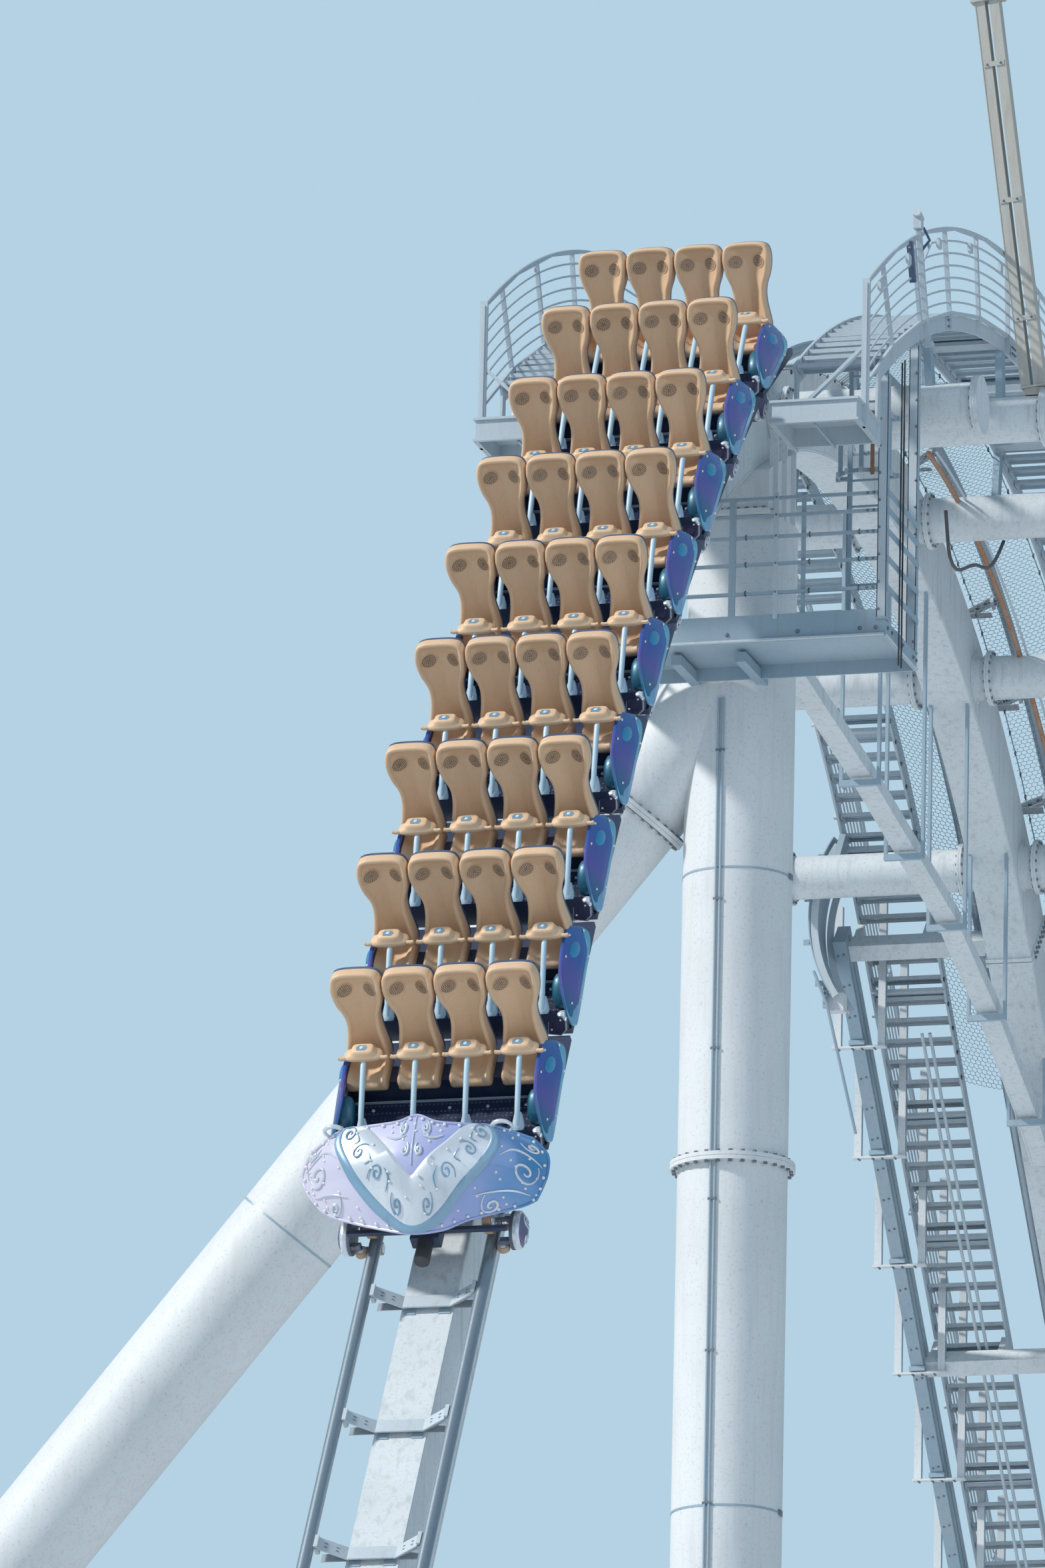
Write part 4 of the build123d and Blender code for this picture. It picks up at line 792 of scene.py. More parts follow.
# Running rails, with a weld ring at each joint; their steel is darkened as painted shadow
for side, name in sides:
    rail = Shape()
    rail.tube([on_track(d, side * gauge) for d in whole_track(230)], rail_radius, 20)
    for place in (splices[0], 0.4, *splices[1:]):
        rail.on(track(place + 0.21) @ to_front)
        rail.lathe([(0.0333, -0.004), (0.0333, 0.004)], 20, 1, at=(side * gauge, 0))
    rail.make(name + "_rail_tube", (rail_steel_painted_shadow, bolt_steel), instead=(name + "_rail",))

# Ties: a web on the spine with a thin flange that dips from rail to rail
end, dip, half = 0.2717, -0.081, 0.113
web = [(-end, 0.004), (-half, dip - 0.006), (half, dip - 0.006), (end, 0.004), (end, -0.034),
       (0.135, -0.115), (-0.135, -0.115), (-end, -0.034)]
flange_top = [(-end, 0.012), (-half - 0.01, dip), (-half + 0.02, dip + 0.002),
              (half - 0.02, dip + 0.002), (half + 0.01, dip), (end, 0.012)]
flange_low = [(x, z - 0.009) for x, z in reversed(flange_top)]
for group in ("lift", "crest", "drop"):
    ties = Shape()
    for d in tie_places:
        if group != ("lift" if d < -lift_arc else "drop" if d > crest_arc else "crest"):
            continue
        here = track(d)
        ties.on(here @ to_front).plate(web, -0.009, 0.009)
        ties.plate(flange_top + flange_low, -0.038, 0.038, 1)
        for side in (-1, 1):
            ties.on(here)
            ties.box((side * 0.262, 0, -0.012), (0.02, 0.076, 0.062), 1)
            ties.box((side * 0.2, 0, -0.112), (0.13, 0.05, 0.004))
            ties.box((side * 0.09, 0, -0.1125), (0.06, 0.12, 0.006), 3)
            for way in (1, -1):
                ties.on(here @ rotated(way * pi / 2, "X"))
                ties.bolts([(side * 0.225, -way * 0.030), (side * 0.175, -way * 0.062)],
                           0.011, 0.013, 2, 0.009)
    ties.make(group + "_tie_plates", (tie_paint, light_steel, bolt_steel, steelwork_painted_shade),
              instead=(group + "_ties",))

# Spine: bolted splices and long weld lines
spine = Shape()
for place in splices:
    for back in (-0.016, 0.016):
        spine.on(track(place + back))
        for x in (-0.141, 0.141):
            spine.box((x, 0, -0.35), (0.014, 0.024, 0.46))
        for z in (-0.108, -0.596):
            spine.box((0, 0, z), (0.29, 0.024, 0.012))
    for side in (-1, 1):
        spine.on(track(place) @ moved((side * 0.148, 0, 0)) @ rotated(side * pi / 2, "Y"))
        spine.bolts([(side * (0.16 + 0.06 * n), y) for n in range(7) for y in (-0.016, 0.016)],
                    0.009, 0.01, 1)
spine.on()
for side in (-1, 1):
    for h in (-0.125, -0.578):
        spine.tube([on_track(d, side * 0.1355, h) for d in whole_track(150, 0.02)], 0.0035, 5, 2)
spine.make("spine_welds_and_splices", (track_paint, bolt_steel, white_paint))

# Cross tubes: round pipes with bolted flange joints and blind flanges
pipes = Shape()
for angle in (-22.0, -6.0, 10.0, 25.7, 40.0):
    middle = on_track(over_crest(angle), 0, -0.365)
    for side in (-1, 1):
        pipes.on(pointing(middle, middle + Vector((side, 0, 0))))
        pipes.lathe([(0.15, 0.136), (0.15, 0.142), (0.132, 0.15), (0.132, 1.32)], 48)
        for x in (0.232, 1.319):
            pipes.lathe([(0.13, x - 0.013), (0.1675, x - 0.013), (0.1675, x - 0.001), (0.165, x),
                         (0.1675, x + 0.001), (0.1675, x + 0.013), (0.13, x + 0.013)],
                        48, caps=x > 1)
            for at in circle(0.15, 16):
                pipes.lathe([(0.009, x - 0.022), (0.009, x + 0.022)], 6, 1, at=at)
        pipes.lathe([(0.166, 1.332), (0.166, 1.345)], 48)
pipes.make("cross_pipes", (track_paint, bolt_steel), instead=("cross_tubes",))

# Walkways: level lipped boards over the stringers of the catwalks and the lift stairs
inner, outer, railing_end, top_rail = 0.6, 1.075, -1.6, 0.615
board_pitch, post_pitch, bar_pitch = 0.15, 6.3, 0.0693


def tread(shape, side, d):
    """Three strips with two lips, and a bracket at each end."""
    y, z = on_track(d, 0, 0.118).yz
    middle = side * (inner + outer) / 2
    for k in range(3):
        shape.box((middle, y - 0.044 + 0.044 * k, z), (0.44, 0.036, 0.006), 1)
    for edge in (-0.064, 0.064):
        shape.box((middle, y + edge, z - 0.007), (0.44, 0.005, 0.023))
    for x in (inner + 0.022, outer - 0.022):
        shape.box((side * x, y, z - 0.014), (0.008, 0.12, 0.03), 2)


def front_slope(h):
    """Slope at the front end of the railing, for a line at a height over the crest's rails."""
    return asin((railing_end - offset) / (crest_radius + h))


for side, name in sides:
    treads, stairs = Shape(), Shape()
    middle = side * (inner + outer) / 2
    d = over_crest(44.3)
    while d < over_crest(-33.0):
        tread(treads, side, d)
        d += board_pitch
    d = -lift_arc - 0.06
    while d > track_start + 0.12:
        tread(stairs, side, d)
        d -= board_pitch
    # handrails: round bars with a stout top rail, and the posts between
    rails, slope_rails = Shape(), Shape()
    plane = side * (outer + 0.009)
    for n in range(8):
        h, radius = top_rail - bar_pitch * n, 0.0065 if n else 0.011
        start = front_slope(h)
        rails.tube([on_track(-crest_radius * (start + (lift_slope - start) * k / 60), plane, h)
                    for k in range(61)], radius, 8)
        slope_rails.tube([on_track(d, plane, h) for d in (-lift_arc, track_start + 0.02)],
                         radius, 8)
    for n in range(12):
        low, high = (on_track(over_crest(38.7 - post_pitch * n), plane + side * 0.002, h)
                     for h in (0.05, 0.61))
        if low.y > railing_end + 0.1:
            rails.bar(low, high, 0.026, 0.012, 1)
    head = on_track(-crest_radius * front_slope(top_rail), plane, top_rail)
    rails.bar((plane, railing_end, 20.55), head + Vector((0, 0, 0.025)), 0.042, 0.022, 1)
    rails.bar((side * (inner + 0.13), railing_end + 0.01, 20.66),
              (plane - side * 0.01, railing_end + 0.01, 20.985), 0.018, 0.034)
    # small tag plates on every second post
    for angle in (-24.3, -11.7, 0.9):
        at = on_track(over_crest(angle), plane + side * 0.012, 0.56)
        rails.box(at - Vector((0, 0.02, 0)), (0.004, 0.03, 0.02), 2)
    # kick strip along the outer stringer, and the stringers' splice plates
    treads.tube([on_track(over_crest(44.5 - 1.5 * k), side * (outer - 0.003), 0.135)
                 for k in range(52)], 0.006, 6, 2)
    for angle in (-18.0, -4.0, 12.0, 27.7):
        here = track(over_crest(angle))
        for x, way in ((inner - 0.004, -1), (outer + 0.004, 1)):
            treads.on(here).box((side * x, 0, 0.083), (0.006, 0.12, 0.066), 2)
            treads.on(here @ moved((side * (x + 0.003 * way), 0, 0.083))
                      @ rotated(side * way * pi / 2, "Y"))
            treads.bolts([(u, v) for u in (-0.018, 0.018) for v in (-0.04, -0.015, 0.015, 0.04)],
                         0.006, 0.006, 3)
    treads.on()
    # raised edge of the inner stringer, past the boards' ends
    near, far = inner - 0.001, inner + 0.015
    corners = ((near, 0.10), (far, 0.10), (far, 0.158), (near, 0.158))
    treads.loft([[on_track(over_crest(44.5 - 1.5 * k), side * x, h) for x, h in corners[::side]]
                 for k in range(53)])
    # landing deck and the lips of its frame
    for z in (20.527, 20.646):
        treads.box((middle, -1.756, z), (0.50, 0.014, 0.014), 2)
        for x in (inner - 0.006, outer + 0.006):
            treads.box((side * x, -1.50, z), (0.014, 0.50, 0.014), 2)
    treads.box((middle, -1.5, 20.516), (0.014, 0.46, 0.01), 1)
    back_y = on_track(over_crest(-33.5), 0, 0.125).y
    for k in range(9):
        treads.box((middle, -1.70 + (back_y + 1.75) * k / 9, 20.655), (0.465, 0.052, 0.008), 1)
    # the boards (slot 1) take a darker paint than their lips, as painted shade under and between
    # them
    treads.make(name + "_catwalk_treads", (light_steel, steelwork_painted_shade, light_steel, bolt_steel))
    stairs.make(name + "_stair_treads", (light_steel, tie_paint, light_steel))
    rails.make(name + "_handrails", (light_steel, light_steel, white_paint))
    slope_rails.make(name + "_stair_handrails", (light_steel,))

# Seats: dished shells with a thick rolled rim, standing on a leaning plane
recline = radians(12.4)
back_frame = frame_of((0, 0.146, 0.350), (1, 0, 0), (0, sin(recline), cos(recline)),
                      (0, -cos(recline), sin(recline)))
half_back = [(0.05, -0.035), (0.098, -0.01), (0.109, 0.03), (0.104, 0.09), (0.092, 0.16),
             (0.088, 0.22), (0.096, 0.275), (0.114, 0.32), (0.127, 0.37), (0.132, 0.42),
             (0.128, 0.465), (0.112, 0.495), (0.075, 0.508), (0.03, 0.511)]
depths = [(-0.04, 0.03), (0.0, 0.075), (0.06, 0.088), (0.15, 0.064), (0.24, 0.052), (0.33, 0.068),
          (0.42, 0.074), (0.49, 0.058), (0.52, 0.048)]
widths = [(s, x - 0.026) for x, s in half_back]
outline = smooth_line(half_back + [(-x, s) for x, s in reversed(half_back)], 2)


def along_table(table, at):
    """Value of a table of (place, value) at a place."""
    for (a, first), (b, second) in zip(table, table[1:]):
        if at <= b:
            return first + (second - first) * max(0.0, (at - a) / (b - a))
    return table[-1][1]


def inset(distance):
    """The seat's outline drawn in by a distance."""
    drawn = []
    for before, p, after in zip(outline[-1:] + outline, outline, outline[1:] + outline[:1]):
        along = (after - before).normalized()
        drawn.append(Vector((p.x - along.y * distance, p.y + along.x * distance)))
    return drawn


def seat_ring(distance, forward, back=None):
    """A ring of the seat's rim: forward of its plane, or at a fixed place behind it."""
    return [(p.x, p.y, back if back is not None else along_table(depths, q.y) + forward)
            for p, q in zip(inset(distance), outline)]


def on_seat(x, s, lift):
    """Point on the dish of the seat's back."""
    share = min(1.0, abs(x) / along_table(widths, s))
    return (x, s, (along_table(depths, s) - 0.012) * share ** 1.7 + lift)


shell_rings = [seat_ring(0.03, 0, -0.036), seat_ring(0.008, 0, -0.034), seat_ring(0, 0, -0.024),
               seat_ring(0, 0, -0.004)]
dish_rings = [shell_rings[-1], seat_ring(0, -0.013), seat_ring(0.003, -0.004),
              seat_ring(0.010, 0), seat_ring(0.018, -0.001), seat_ring(0.024, -0.006)]
for t in (0.0, 0.14, 0.3, 0.5, 0.72, 0.97):
    dish_rings.append([(*p.lerp(Vector((0, min(0.40, max(0.09, p.y)))), t),
                        (along_table(depths, q.y) - 0.012) * (1 - t) ** 1.7)
                       for p, q in zip(inset(0.026), outline)])
# cushion: half-width, height of the bolster and shrinking of the side view, out to its ends
cushion = [(0.106, 0.012, 0.85), (0.104, 0.026, 0.95), (0.092, 0.036, 1), (0.076, 0.026, 1),
           (0.06, 0.008, 1), (0.03, 0.0, 1)]
cushion = [(-x, *rest) for x, *rest in cushion] + cushion[::-1]
cushion_side = [(0.15, 0.352), (0.10, 0.351), (0.03, 0.349), (-0.03, 0.351), (-0.06, 0.349),
                (-0.076, 0.338), (-0.080, 0.322), (-0.072, 0.305), (-0.05, 0.298), (0.15, 0.298)]
cushion_rings = [[(x, 0.04 + (y - 0.04) * shrink,
                   0.325 + (z - 0.325) * shrink + (bolster if z > 0.33 else 0))
                  for y, z in cushion_side] for x, bolster, shrink in cushion]


def add_seat(shape, here):
    """One seat in its own frame: shell, dish, two round grilles of slots and the cushion."""
    shape.on(here @ back_frame)
    shape.loft(shell_rings, 1)
    shape.loft(dish_rings)
    for x0 in (-0.064, 0.064):
        grille = [on_seat(x0 + x, 0.405 + s, 0.002) for x, s in circle(0.037, 20)]
        shape.tube(grille + grille[:1], 0.0022, 5)
        # the dark ovals stand for the grille's slots, painted with the shade of the hollow behind
        # them
        for radius, count in ((0.0, 1), (0.0075, 6), (0.015, 10), (0.0225, 15), (0.030, 20)):
            for k in range(count):
                t = 2 * pi * (k + 0.5 * (count % 2)) / count
                x, s = x0 + radius * cos(t), 0.405 + radius * sin(t)
                shape.add([on_seat(x + a * cos(t) - b * sin(t), s + a * sin(t) + b * cos(t), 0.0035)
                           for a, b in circle(0.0027, 6, other=0.0035)], [range(6)], 2)
    shape.on(here)
    shape.loft(cushion_rings)
    shape.box((0, 0.04, 0.29), (0.16, 0.15, 0.02), 1)


def seats_across(d):
    """Frames of the four seats of the row at a distance."""
    return [track(d) @ moved((seat_spacing * (n - 1.5), 0, 0)) for n in range(4)]


for name, first, last in (("seats_row_1", 0, 1), ("seats_row_2", 1, 2), ("seats_row_3", 2, 3),
                          ("seats_rows_4_to_6", 3, 6), ("seats_rows_7_to_9", 6, 9)):
    seats = Shape()
    for d in row_places[first:last]:
        for here in seats_across(d):
            add_seat(seats, here)
    seats.make(name + "_shells", (soft_tan, shell_navy, grille_holes_painted_shade), instead=(name,), sharp=50)


# Lap bars: a bent stem from a hub, a padded head with a lip and two hand grips, a release plate
def rounded(value, power):
    """Power of a value that keeps its sign, for the rounded outline of the pads."""
    return abs(value) ** power * (1 if value > 0 else -1)


head_rings = []
for half_x, front_y, back_y, z, power in (
        (0.088, -0.040, 0.026, 0.452, 0.5), (0.098, -0.048, 0.032, 0.458, 0.6),
        (0.100, -0.050, 0.034, 0.470, 0.6), (0.094, -0.044, 0.034, 0.478, 0.6),
        (0.072, -0.040, 0.034, 0.484, 0.6), (0.060, -0.034, 0.036, 0.496, 0.5),
        (0.055, -0.028, 0.036, 0.504, 0.5), (0.048, -0.022, 0.032, 0.507, 0.5)):
    middle_y, half_y = 0.033 + (front_y + back_y) / 2, (back_y - front_y) / 2
    head_rings.append([(half_x * rounded(c, power), middle_y + half_y * rounded(s, power), z)
                       for c, s in circle(1, 28)])
hinge = (0, -0.335, 0.232)
bends = [hinge, (0, -0.325, 0.262), (0, -0.27, 0.315), (0, -0.05, 0.432), (0, 0.01, 0.455)]
stem = [Vector(a).lerp(Vector(b), t) for a, b in zip(bends, bends[1:]) for t in (0.15, 0.5, 0.85)]
stem = bends[:1] + stem + bends[-1:]
boot = [[(wide * c, -0.333 + t * 0.75 - 0.6 * deep * s, 0.236 + t * 0.62 + 0.8 * deep * s)
         for c, s in circle(1, 16)]
        for t, wide, deep in ((0.0, 0.030, 0.026), (0.012, 0.034, 0.030), (0.05, 0.030, 0.026),
                              (0.085, 0.022, 0.020), (0.10, 0.017, 0.017))]
for number, d in enumerate(row_places, 1):
    bars, pads = Shape(), Shape()
    for here in seats_across(d):
        pads.on(here).loft(head_rings)
        bars.on(here)
        bars.plate([(-0.030, 0.020), (0.014, 0.018), (0.025, 0.036), (0.016, 0.054),
                    (-0.022, 0.056), (-0.034, 0.040)], 0.506, 0.5085, 2)
        bars.lathe([(0.010, 0.508), (0.010, 0.5105), (0.006, 0.512)], 16, at=(-0.004, 0.038))
        for side in (-1, 1):
            bars.tube([(side * x, y, z) for x, y, z in (
                (0.07, 0.012, 0.466), (0.098, 0.006, 0.466), (0.116, 0.003, 0.467),
                (0.128, 0.006, 0.470))], 0.011, 10, 3)
        bars.tube(stem, 0.0145, 14)
        bars.on(here @ moved(hinge) @ rotated(pi / 2, "Y"))
        bars.lathe([(0.012, -0.022), (0.022, -0.020), (0.022, 0.020), (0.012, 0.022)], 20)
        bars.lathe([(0.008, -0.026), (0.008, 0.0224)], 10, 4)
        bars.on(here).loft(boot, 5)
    body = "lap_bars_row_%d" % number
    bars.make("lap_bar_frames_row_%d" % number,
              (bar_blue, pad_tan, plate_blue, pad_tan, bolt_steel, bar_blue), body=body,
              instead=(body,))
    pad = pads.make("lap_bar_pads_row_%d" % number, (pad_tan,), body=body, sharp=60)

# Footwells: studded sheets, bright edges and curved side walls over the chassis
wall = [(-0.385, 0.19), (-0.385, 0.24), (-0.3, 0.256), (-0.15, 0.266), (0.0, 0.276),
        (0.1, 0.278), (0.18, 0.27), (0.19, 0.19)]
wells = Shape()
for d in row_places:
    wells.on(track(d))
    wells.box((0, -0.19, 0.1885), (1.09, 0.37, 0.004))
    wells.box((0, -0.372, 0.2), (1.08, 0.006, 0.02), 1)
    wells.box((0, -0.05, 0.195), (1.0, 0.006, 0.016), 1)
    for side in (-1, 1):
        wells.loft([[(side * x, y, z) for y, z in wall] for x in (0.528, 0.540)], 2)
        wells.tube([(side * 0.534, y, z) for y, z in wall[1:7]], 0.008, 8, 3)
        wells.box((side * 0.47, -0.33, 0.212), (0.11, 0.05, 0.05), 4)
    wells.bolts([(-0.4 + 0.2 * n, -0.1) for n in range(5)], 0.007, 0.006, 3, 0.1905)
wells.make("footwells", (footwell, steel_edge, shell_navy, silver, navy))

# Side panels: blades that lean in at the top, with a pale lower rim, a dish and pearl studs
blade = smooth_line([(-0.37, 0.20), (-0.385, 0.25), (-0.30, 0.335), (-0.17, 0.405), (-0.03, 0.443),
                     (0.10, 0.43), (0.185, 0.35), (0.20, 0.285), (0.12, 0.245), (-0.05, 0.225),
                     (-0.22, 0.205)], 4)
hub = Vector((-0.04, 0.32))
rim_run = [*range(23, 44), *range(7)]
facet = [(-0.052, -0.045), (-0.045, 0.03), (-0.022, 0.052), (0.03, 0.05), (0.05, 0.02),
         (0.046, -0.03), (0.015, -0.055)]


def on_blade(side, p, lift):
    """Point on a side panel, which leans in towards its top."""
    high = (p.y - 0.235 - 0.13 * max(p.x, -0.2)) / 0.18
    return (side * (0.572 - 0.062 * min(1.0, max(0.0, high)) + lift), p.x, p.y)


def from_hub(i, scale):
    """Point of the blade's outline, drawn towards its hub."""
    return hub + (blade[i] - hub) * scale


def rim_strip(side, scale, lift):
    """A line of the pale rim, which runs out to nothing at both ends."""
    strip = []
    for k, i in enumerate(rim_run):
        near = min(1.0, (k + 0.3) / 5, (len(rim_run) - k - 0.7) / 5)
        strip.append(on_blade(side, from_hub(i, 1.0 - (1.0 - scale) * near), lift * near))
    return strip


for side, name in sides:
    panels = Shape()
    panels.uv_from = lambda p: ((p.y + 0.38) / 0.58, (p.z - 0.2) / 0.25)
    for d in row_places:
        here = track(d)
        panels.on(here)
        panels.loft([[on_blade(side, from_hub(i, scale), lift) for i in range(len(blade))]
                     for scale, lift in (
                         (0.93, -0.016), (0.99, -0.012), (1.0, -0.004), (0.99, 0.004),
                         (0.93, 0.008), (0.8, 0.012), (0.55, 0.018), (0.3, 0.021),
                         (0.03, 0.022))])
        panels.loft([rim_strip(side, scale, lift) for scale, lift in (
            (1.0, -0.014), (1.012, -0.006), (1.012, 0.006), (1.0, 0.011), (0.70, 0.019),
            (0.685, 0.013))], 1, closed=False)
        panels.loft([[on_blade(side, Vector((0.005 + r * (0.06 * c - 0.018 * s),
                                             0.362 + 0.036 * r * s)), lift)
                      for c, s in circle(1, 20)]
                     for r, lift in ((1.0, 0.008), (0.94, 0.021), (0.6, 0.026), (0.05, 0.028))], 5)
        for i, scale in ((5, 0.78), (14, 0.8), (19, 0.84), (25, 0.9), (33, 0.9), (40, 0.93)):
            panels.on(here @ moved(on_blade(side, from_hub(i, scale), 0.0125))
                      @ rotated(side * pi / 2, "Y"))
            panels.lathe([(0.0075, 0), (0.0065, 0.004), (0.003, 0.0065)], 10, 2)
        # front knuckle: a rounded cap low on the blade's front, its teal darkened as painted shade
        panels.on(here)
        panels.loft([[(side * (0.490 + a * 0.038), -0.22 + b * 0.085 * c,
                       0.29 + b * (0.055 * s + 0.04 * c)) for c, s in circle(1, 20)]
                     for a, b in ((-1.0, 0.3), (-0.9, 0.7), (-0.5, 0.93), (0.1, 1.0), (0.9, 1.0))],
                    3)
        # faceted bright plate with a dark face and two studs on the corner of the car's front
        panels.on(here @ moved((side * 0.487, -0.388, 0.218)) @ rotated(radians(62), "X"))
        for scale, low, high, slot in ((1.0, -0.004, 0.008, 4), (0.88, 0.006, 0.013, 6),
                                       (0.4, 0.012, 0.016, 6)):
            panels.plate([(side * x * scale, y * scale) for x, y in facet], low, high, slot)
        for x, y in ((0.02, 0.028), (-0.03, -0.02)):
            panels.lathe([(0.006, 0.012), (0.005, 0.018), (0.002, 0.02)], 10, 2, at=(side * x, y))
        # bright domed disc above it
        panels.on(here @ moved((side * 0.512, -0.352, 0.238)) @ rotated(radians(50), "X"))
        panels.lathe([(0.033, -0.02), (0.033, 0.0), (0.030, 0.012), (0.021, 0.022),
                      (0.008, 0.027)], 20, 4)
    panels.make(name + "_side_panels",
                (panel_gloss, panel_rim, pearl, teal_cap_painted_shade, silver, dish_gloss, cover_gloss),
                instead=("side_panels",), sharp=50)

# Bogies: tan-tyred wheels with bright rings, and domed covers with a raised scroll
cover = smooth_line([(-0.20, 0.02), (-0.17, 0.09), (-0.09, 0.125), (0.0, 0.12), (0.055, 0.06),
                     (0.05, -0.02), (-0.02, -0.065), (-0.11, -0.07), (-0.18, -0.04)], 4)
cover_hub = Vector((-0.075, 0.03))
for side, name in sides:
    bogies = Shape()
    bogies.uv_from = lambda p: ((p.y + 0.2) / 0.26, (p.z + 0.07) / 0.2)
    upright = rotated(side * pi / 2, "Y")
    # each wheel: place, way it stands, radius, width and length of its axle
    wheels = [((side * 0.282, 0, 0.1045), upright, 0.071, 0.046, 0.135),
              ((side * 0.288, 0, -0.0685), upright, 0.035, 0.034, 0.13)]
    wheels += [((side * 0.3705, y, -0.017), Matrix(), 0.032, 0.034, 0.05) for y in (-0.09, 0.07)]
    for d in [lead_place] + row_places:
        here = track(d)
        # the lead car's cover is smaller, and set further back and up
        size, shift = (0.8, Vector((0.06, 0.01))) if d == lead_place else (1.0, Vector((0, 0)))

        def on_cover(p, scale=1.0):
            """Point of the wheel cover, drawn towards its hub."""
            return cover_hub + shift + (p - cover_hub) * scale * size

        def cover_ring(scale, x):
            return [(side * x, *on_cover(p, scale)) for p in cover]

        for at, stands, radius, width, reach in wheels:
            bogies.on(here @ moved(at) @ stands)
            bogies.lathe([(radius * 0.72, 0), (radius * 0.96, 0.0005), (radius, 0.005),
                          (radius, width - 0.005), (radius * 0.96, width - 0.0005),
                          (radius * 0.72, width)], 36)
            bogies.lathe([(radius * 0.2, -0.004), (radius * 0.7, -0.004), (radius * 0.74, 0.001),
                          (radius * 0.74, width - 0.001), (radius * 0.7, width + 0.004),
                          (radius * 0.45, width + 0.001), (radius * 0.42, width + 0.008),
                          (radius * 0.2, width + 0.010)], 28, 1)
            bogies.lathe([(0.012, width), (0.012, reach)], 12, 2)
        bogies.on(here)
        for y in (-0.09, 0.07):
            bogies.box((side * 0.392, y, 0.045), (0.06, 0.03, 0.025), 2)
        for slot, rings in (
                (2, ((1.0, 0.415), (1.0, 0.431))),
                (1, ((0.97, 0.431), (1.0, 0.445), (0.99, 0.456), (0.90, 0.466), (0.87, 0.463))),
                (3, ((0.88, 0.462), (0.7, 0.476), (0.4, 0.488), (0.05, 0.492)))):
            bogies.loft([cover_ring(*ring) for ring in rings], slot)
        for centre_y, centre_z, wide, way in ((-0.03, 0.06, 0.046, 1), (-0.115, -0.005, 0.04, -1)):
            spiral = []
            for k in range(26):
                t, r = way * 3.4 * pi * k / 25, wide * (0.12 + 0.88 * k / 25)
                p = Vector((centre_y + r * cos(t), centre_z + r * sin(t)))
                reach = min(1.0, hypot((p.x - cover_hub.x) / 0.13, (p.y - cover_hub.y) / 0.1))
                spiral.append((side * (0.494 - 0.03 * reach ** 2), *on_cover(p)))
            bogies.tube(spiral, 0.0042, 6, 1)
        for at in cover_ring(0.94, 0.4605)[::6]:
            bogies.on(here @ moved(at) @ upright)
            bogies.lathe([(0.006, 0), (0.005, 0.0035), (0.002, 0.0055)], 8, 4)
    bogies.make(name + "_bogie_wheels", (tyre_tan, silver, dark_grey, cover_gloss, pearl),
                instead=(name + "_bogies",), sharp=40)

# Nose fairing: a broad shield over the lead car, bulging forward, open behind
edge_rows = [
    [(-0.57, 0.20, 0.44), (-0.41, 0.245, 0.53), (-0.27, 0.235, 0.565), (-0.10, 0.235, 0.59),
     (0.0, 0.262, 0.605), (0.11, 0.215, 0.60), (0.26, 0.21, 0.58), (0.40, 0.215, 0.55),
     (0.574, 0.217, 0.45)],
    [(-0.62, 0.17, 0.37), (-0.46, 0.16, 0.50), (-0.29, 0.13, 0.545), (-0.12, 0.12, 0.575),
     (0.0, 0.12, 0.59), (0.13, 0.115, 0.58), (0.29, 0.12, 0.55), (0.46, 0.14, 0.49),
     (0.636, 0.18, 0.37)],
    [(-0.640, 0.14, 0.32), (-0.49, 0.08, 0.44), (-0.32, 0.03, 0.50), (-0.14, 0.0, 0.54),
     (0.0, -0.01, 0.55), (0.14, 0.0, 0.54), (0.32, 0.03, 0.49), (0.50, 0.07, 0.42),
     (0.634, 0.11, 0.31)],
    [(-0.625, 0.09, 0.30), (-0.52, 0.01, 0.34), (-0.35, -0.05, 0.40), (-0.15, -0.12, 0.43),
     (0.0, -0.15, 0.44), (0.15, -0.13, 0.43), (0.30, -0.06, 0.39), (0.52, 0.0, 0.33),
     (0.612, 0.04, 0.28)],
    [(-0.603, 0.046, 0.29), (-0.52, -0.04, 0.25), (-0.386, -0.111, 0.25), (-0.15, -0.21, 0.275),
     (0.0, -0.262, 0.30), (0.14, -0.22, 0.275), (0.26, -0.13, 0.25), (0.495, -0.04, 0.23),
     (0.583, -0.015, 0.25)],
]


def shield_point(u, v):
    """Point of the bare shield, held inside its edges."""
    return curve([curve(row, (min(1, max(-1, u)) + 1) / 2) for row in edge_rows],
                 min(1, max(0, v)))


def on_nose(u, v, lift=0.0):
    """Point on the shield: u runs from its right tip (-1) to its left (1), v from top to foot."""
    p, step = shield_point(u, v), 0.01
    if lift:
        side_way = shield_point(u + step, v) - shield_point(u - step, v)
        down_way = shield_point(u, v + step) - shield_point(u, v - step)
        p = p + down_way.cross(side_way).normalized() * lift
    return p


lead_frame = track(lead_place)
nose = Shape().on(lead_frame)
nose.uv_from = lambda p: ((p.x + 0.64) / 1.28, (p.z - 0.2) / 0.4)
columns, rows = 48, 20
grid = [[on_nose(-1 + 2 * i / columns, j / rows) for i in range(columns + 1)]
        for j in range(rows + 1)]
inner_grid = [[p + Vector((-p.x * 0.03, 0.02, -0.028)) for p in row] for row in grid]
# the field's colour pales towards its right tip (-x) as painted sunlight
nose.loft(grid, 0, closed=False)
nose.loft(inner_grid, 3, closed=False)
border = ([(0, i) for i in range(columns)] + [(j, columns) for j in range(rows)]
          + [(rows, i) for i in range(columns, 0, -1)] + [(j, 0) for j in range(rows, 0, -1)])
edge_line = [grid[j][i] for j, i in border]
nose.loft([edge_line, [inner_grid[j][i] for j, i in border]], 1, caps=False)


def nose_stud(u, v, lift, profile, count):
    """A pearl stud that stands square to the shield."""
    nose.on(lead_frame @ pointing(on_nose(u, v, lift), on_nose(u, v, lift + 0.02)))
    nose.lathe(profile, count, 2)
    nose.on(lead_frame)


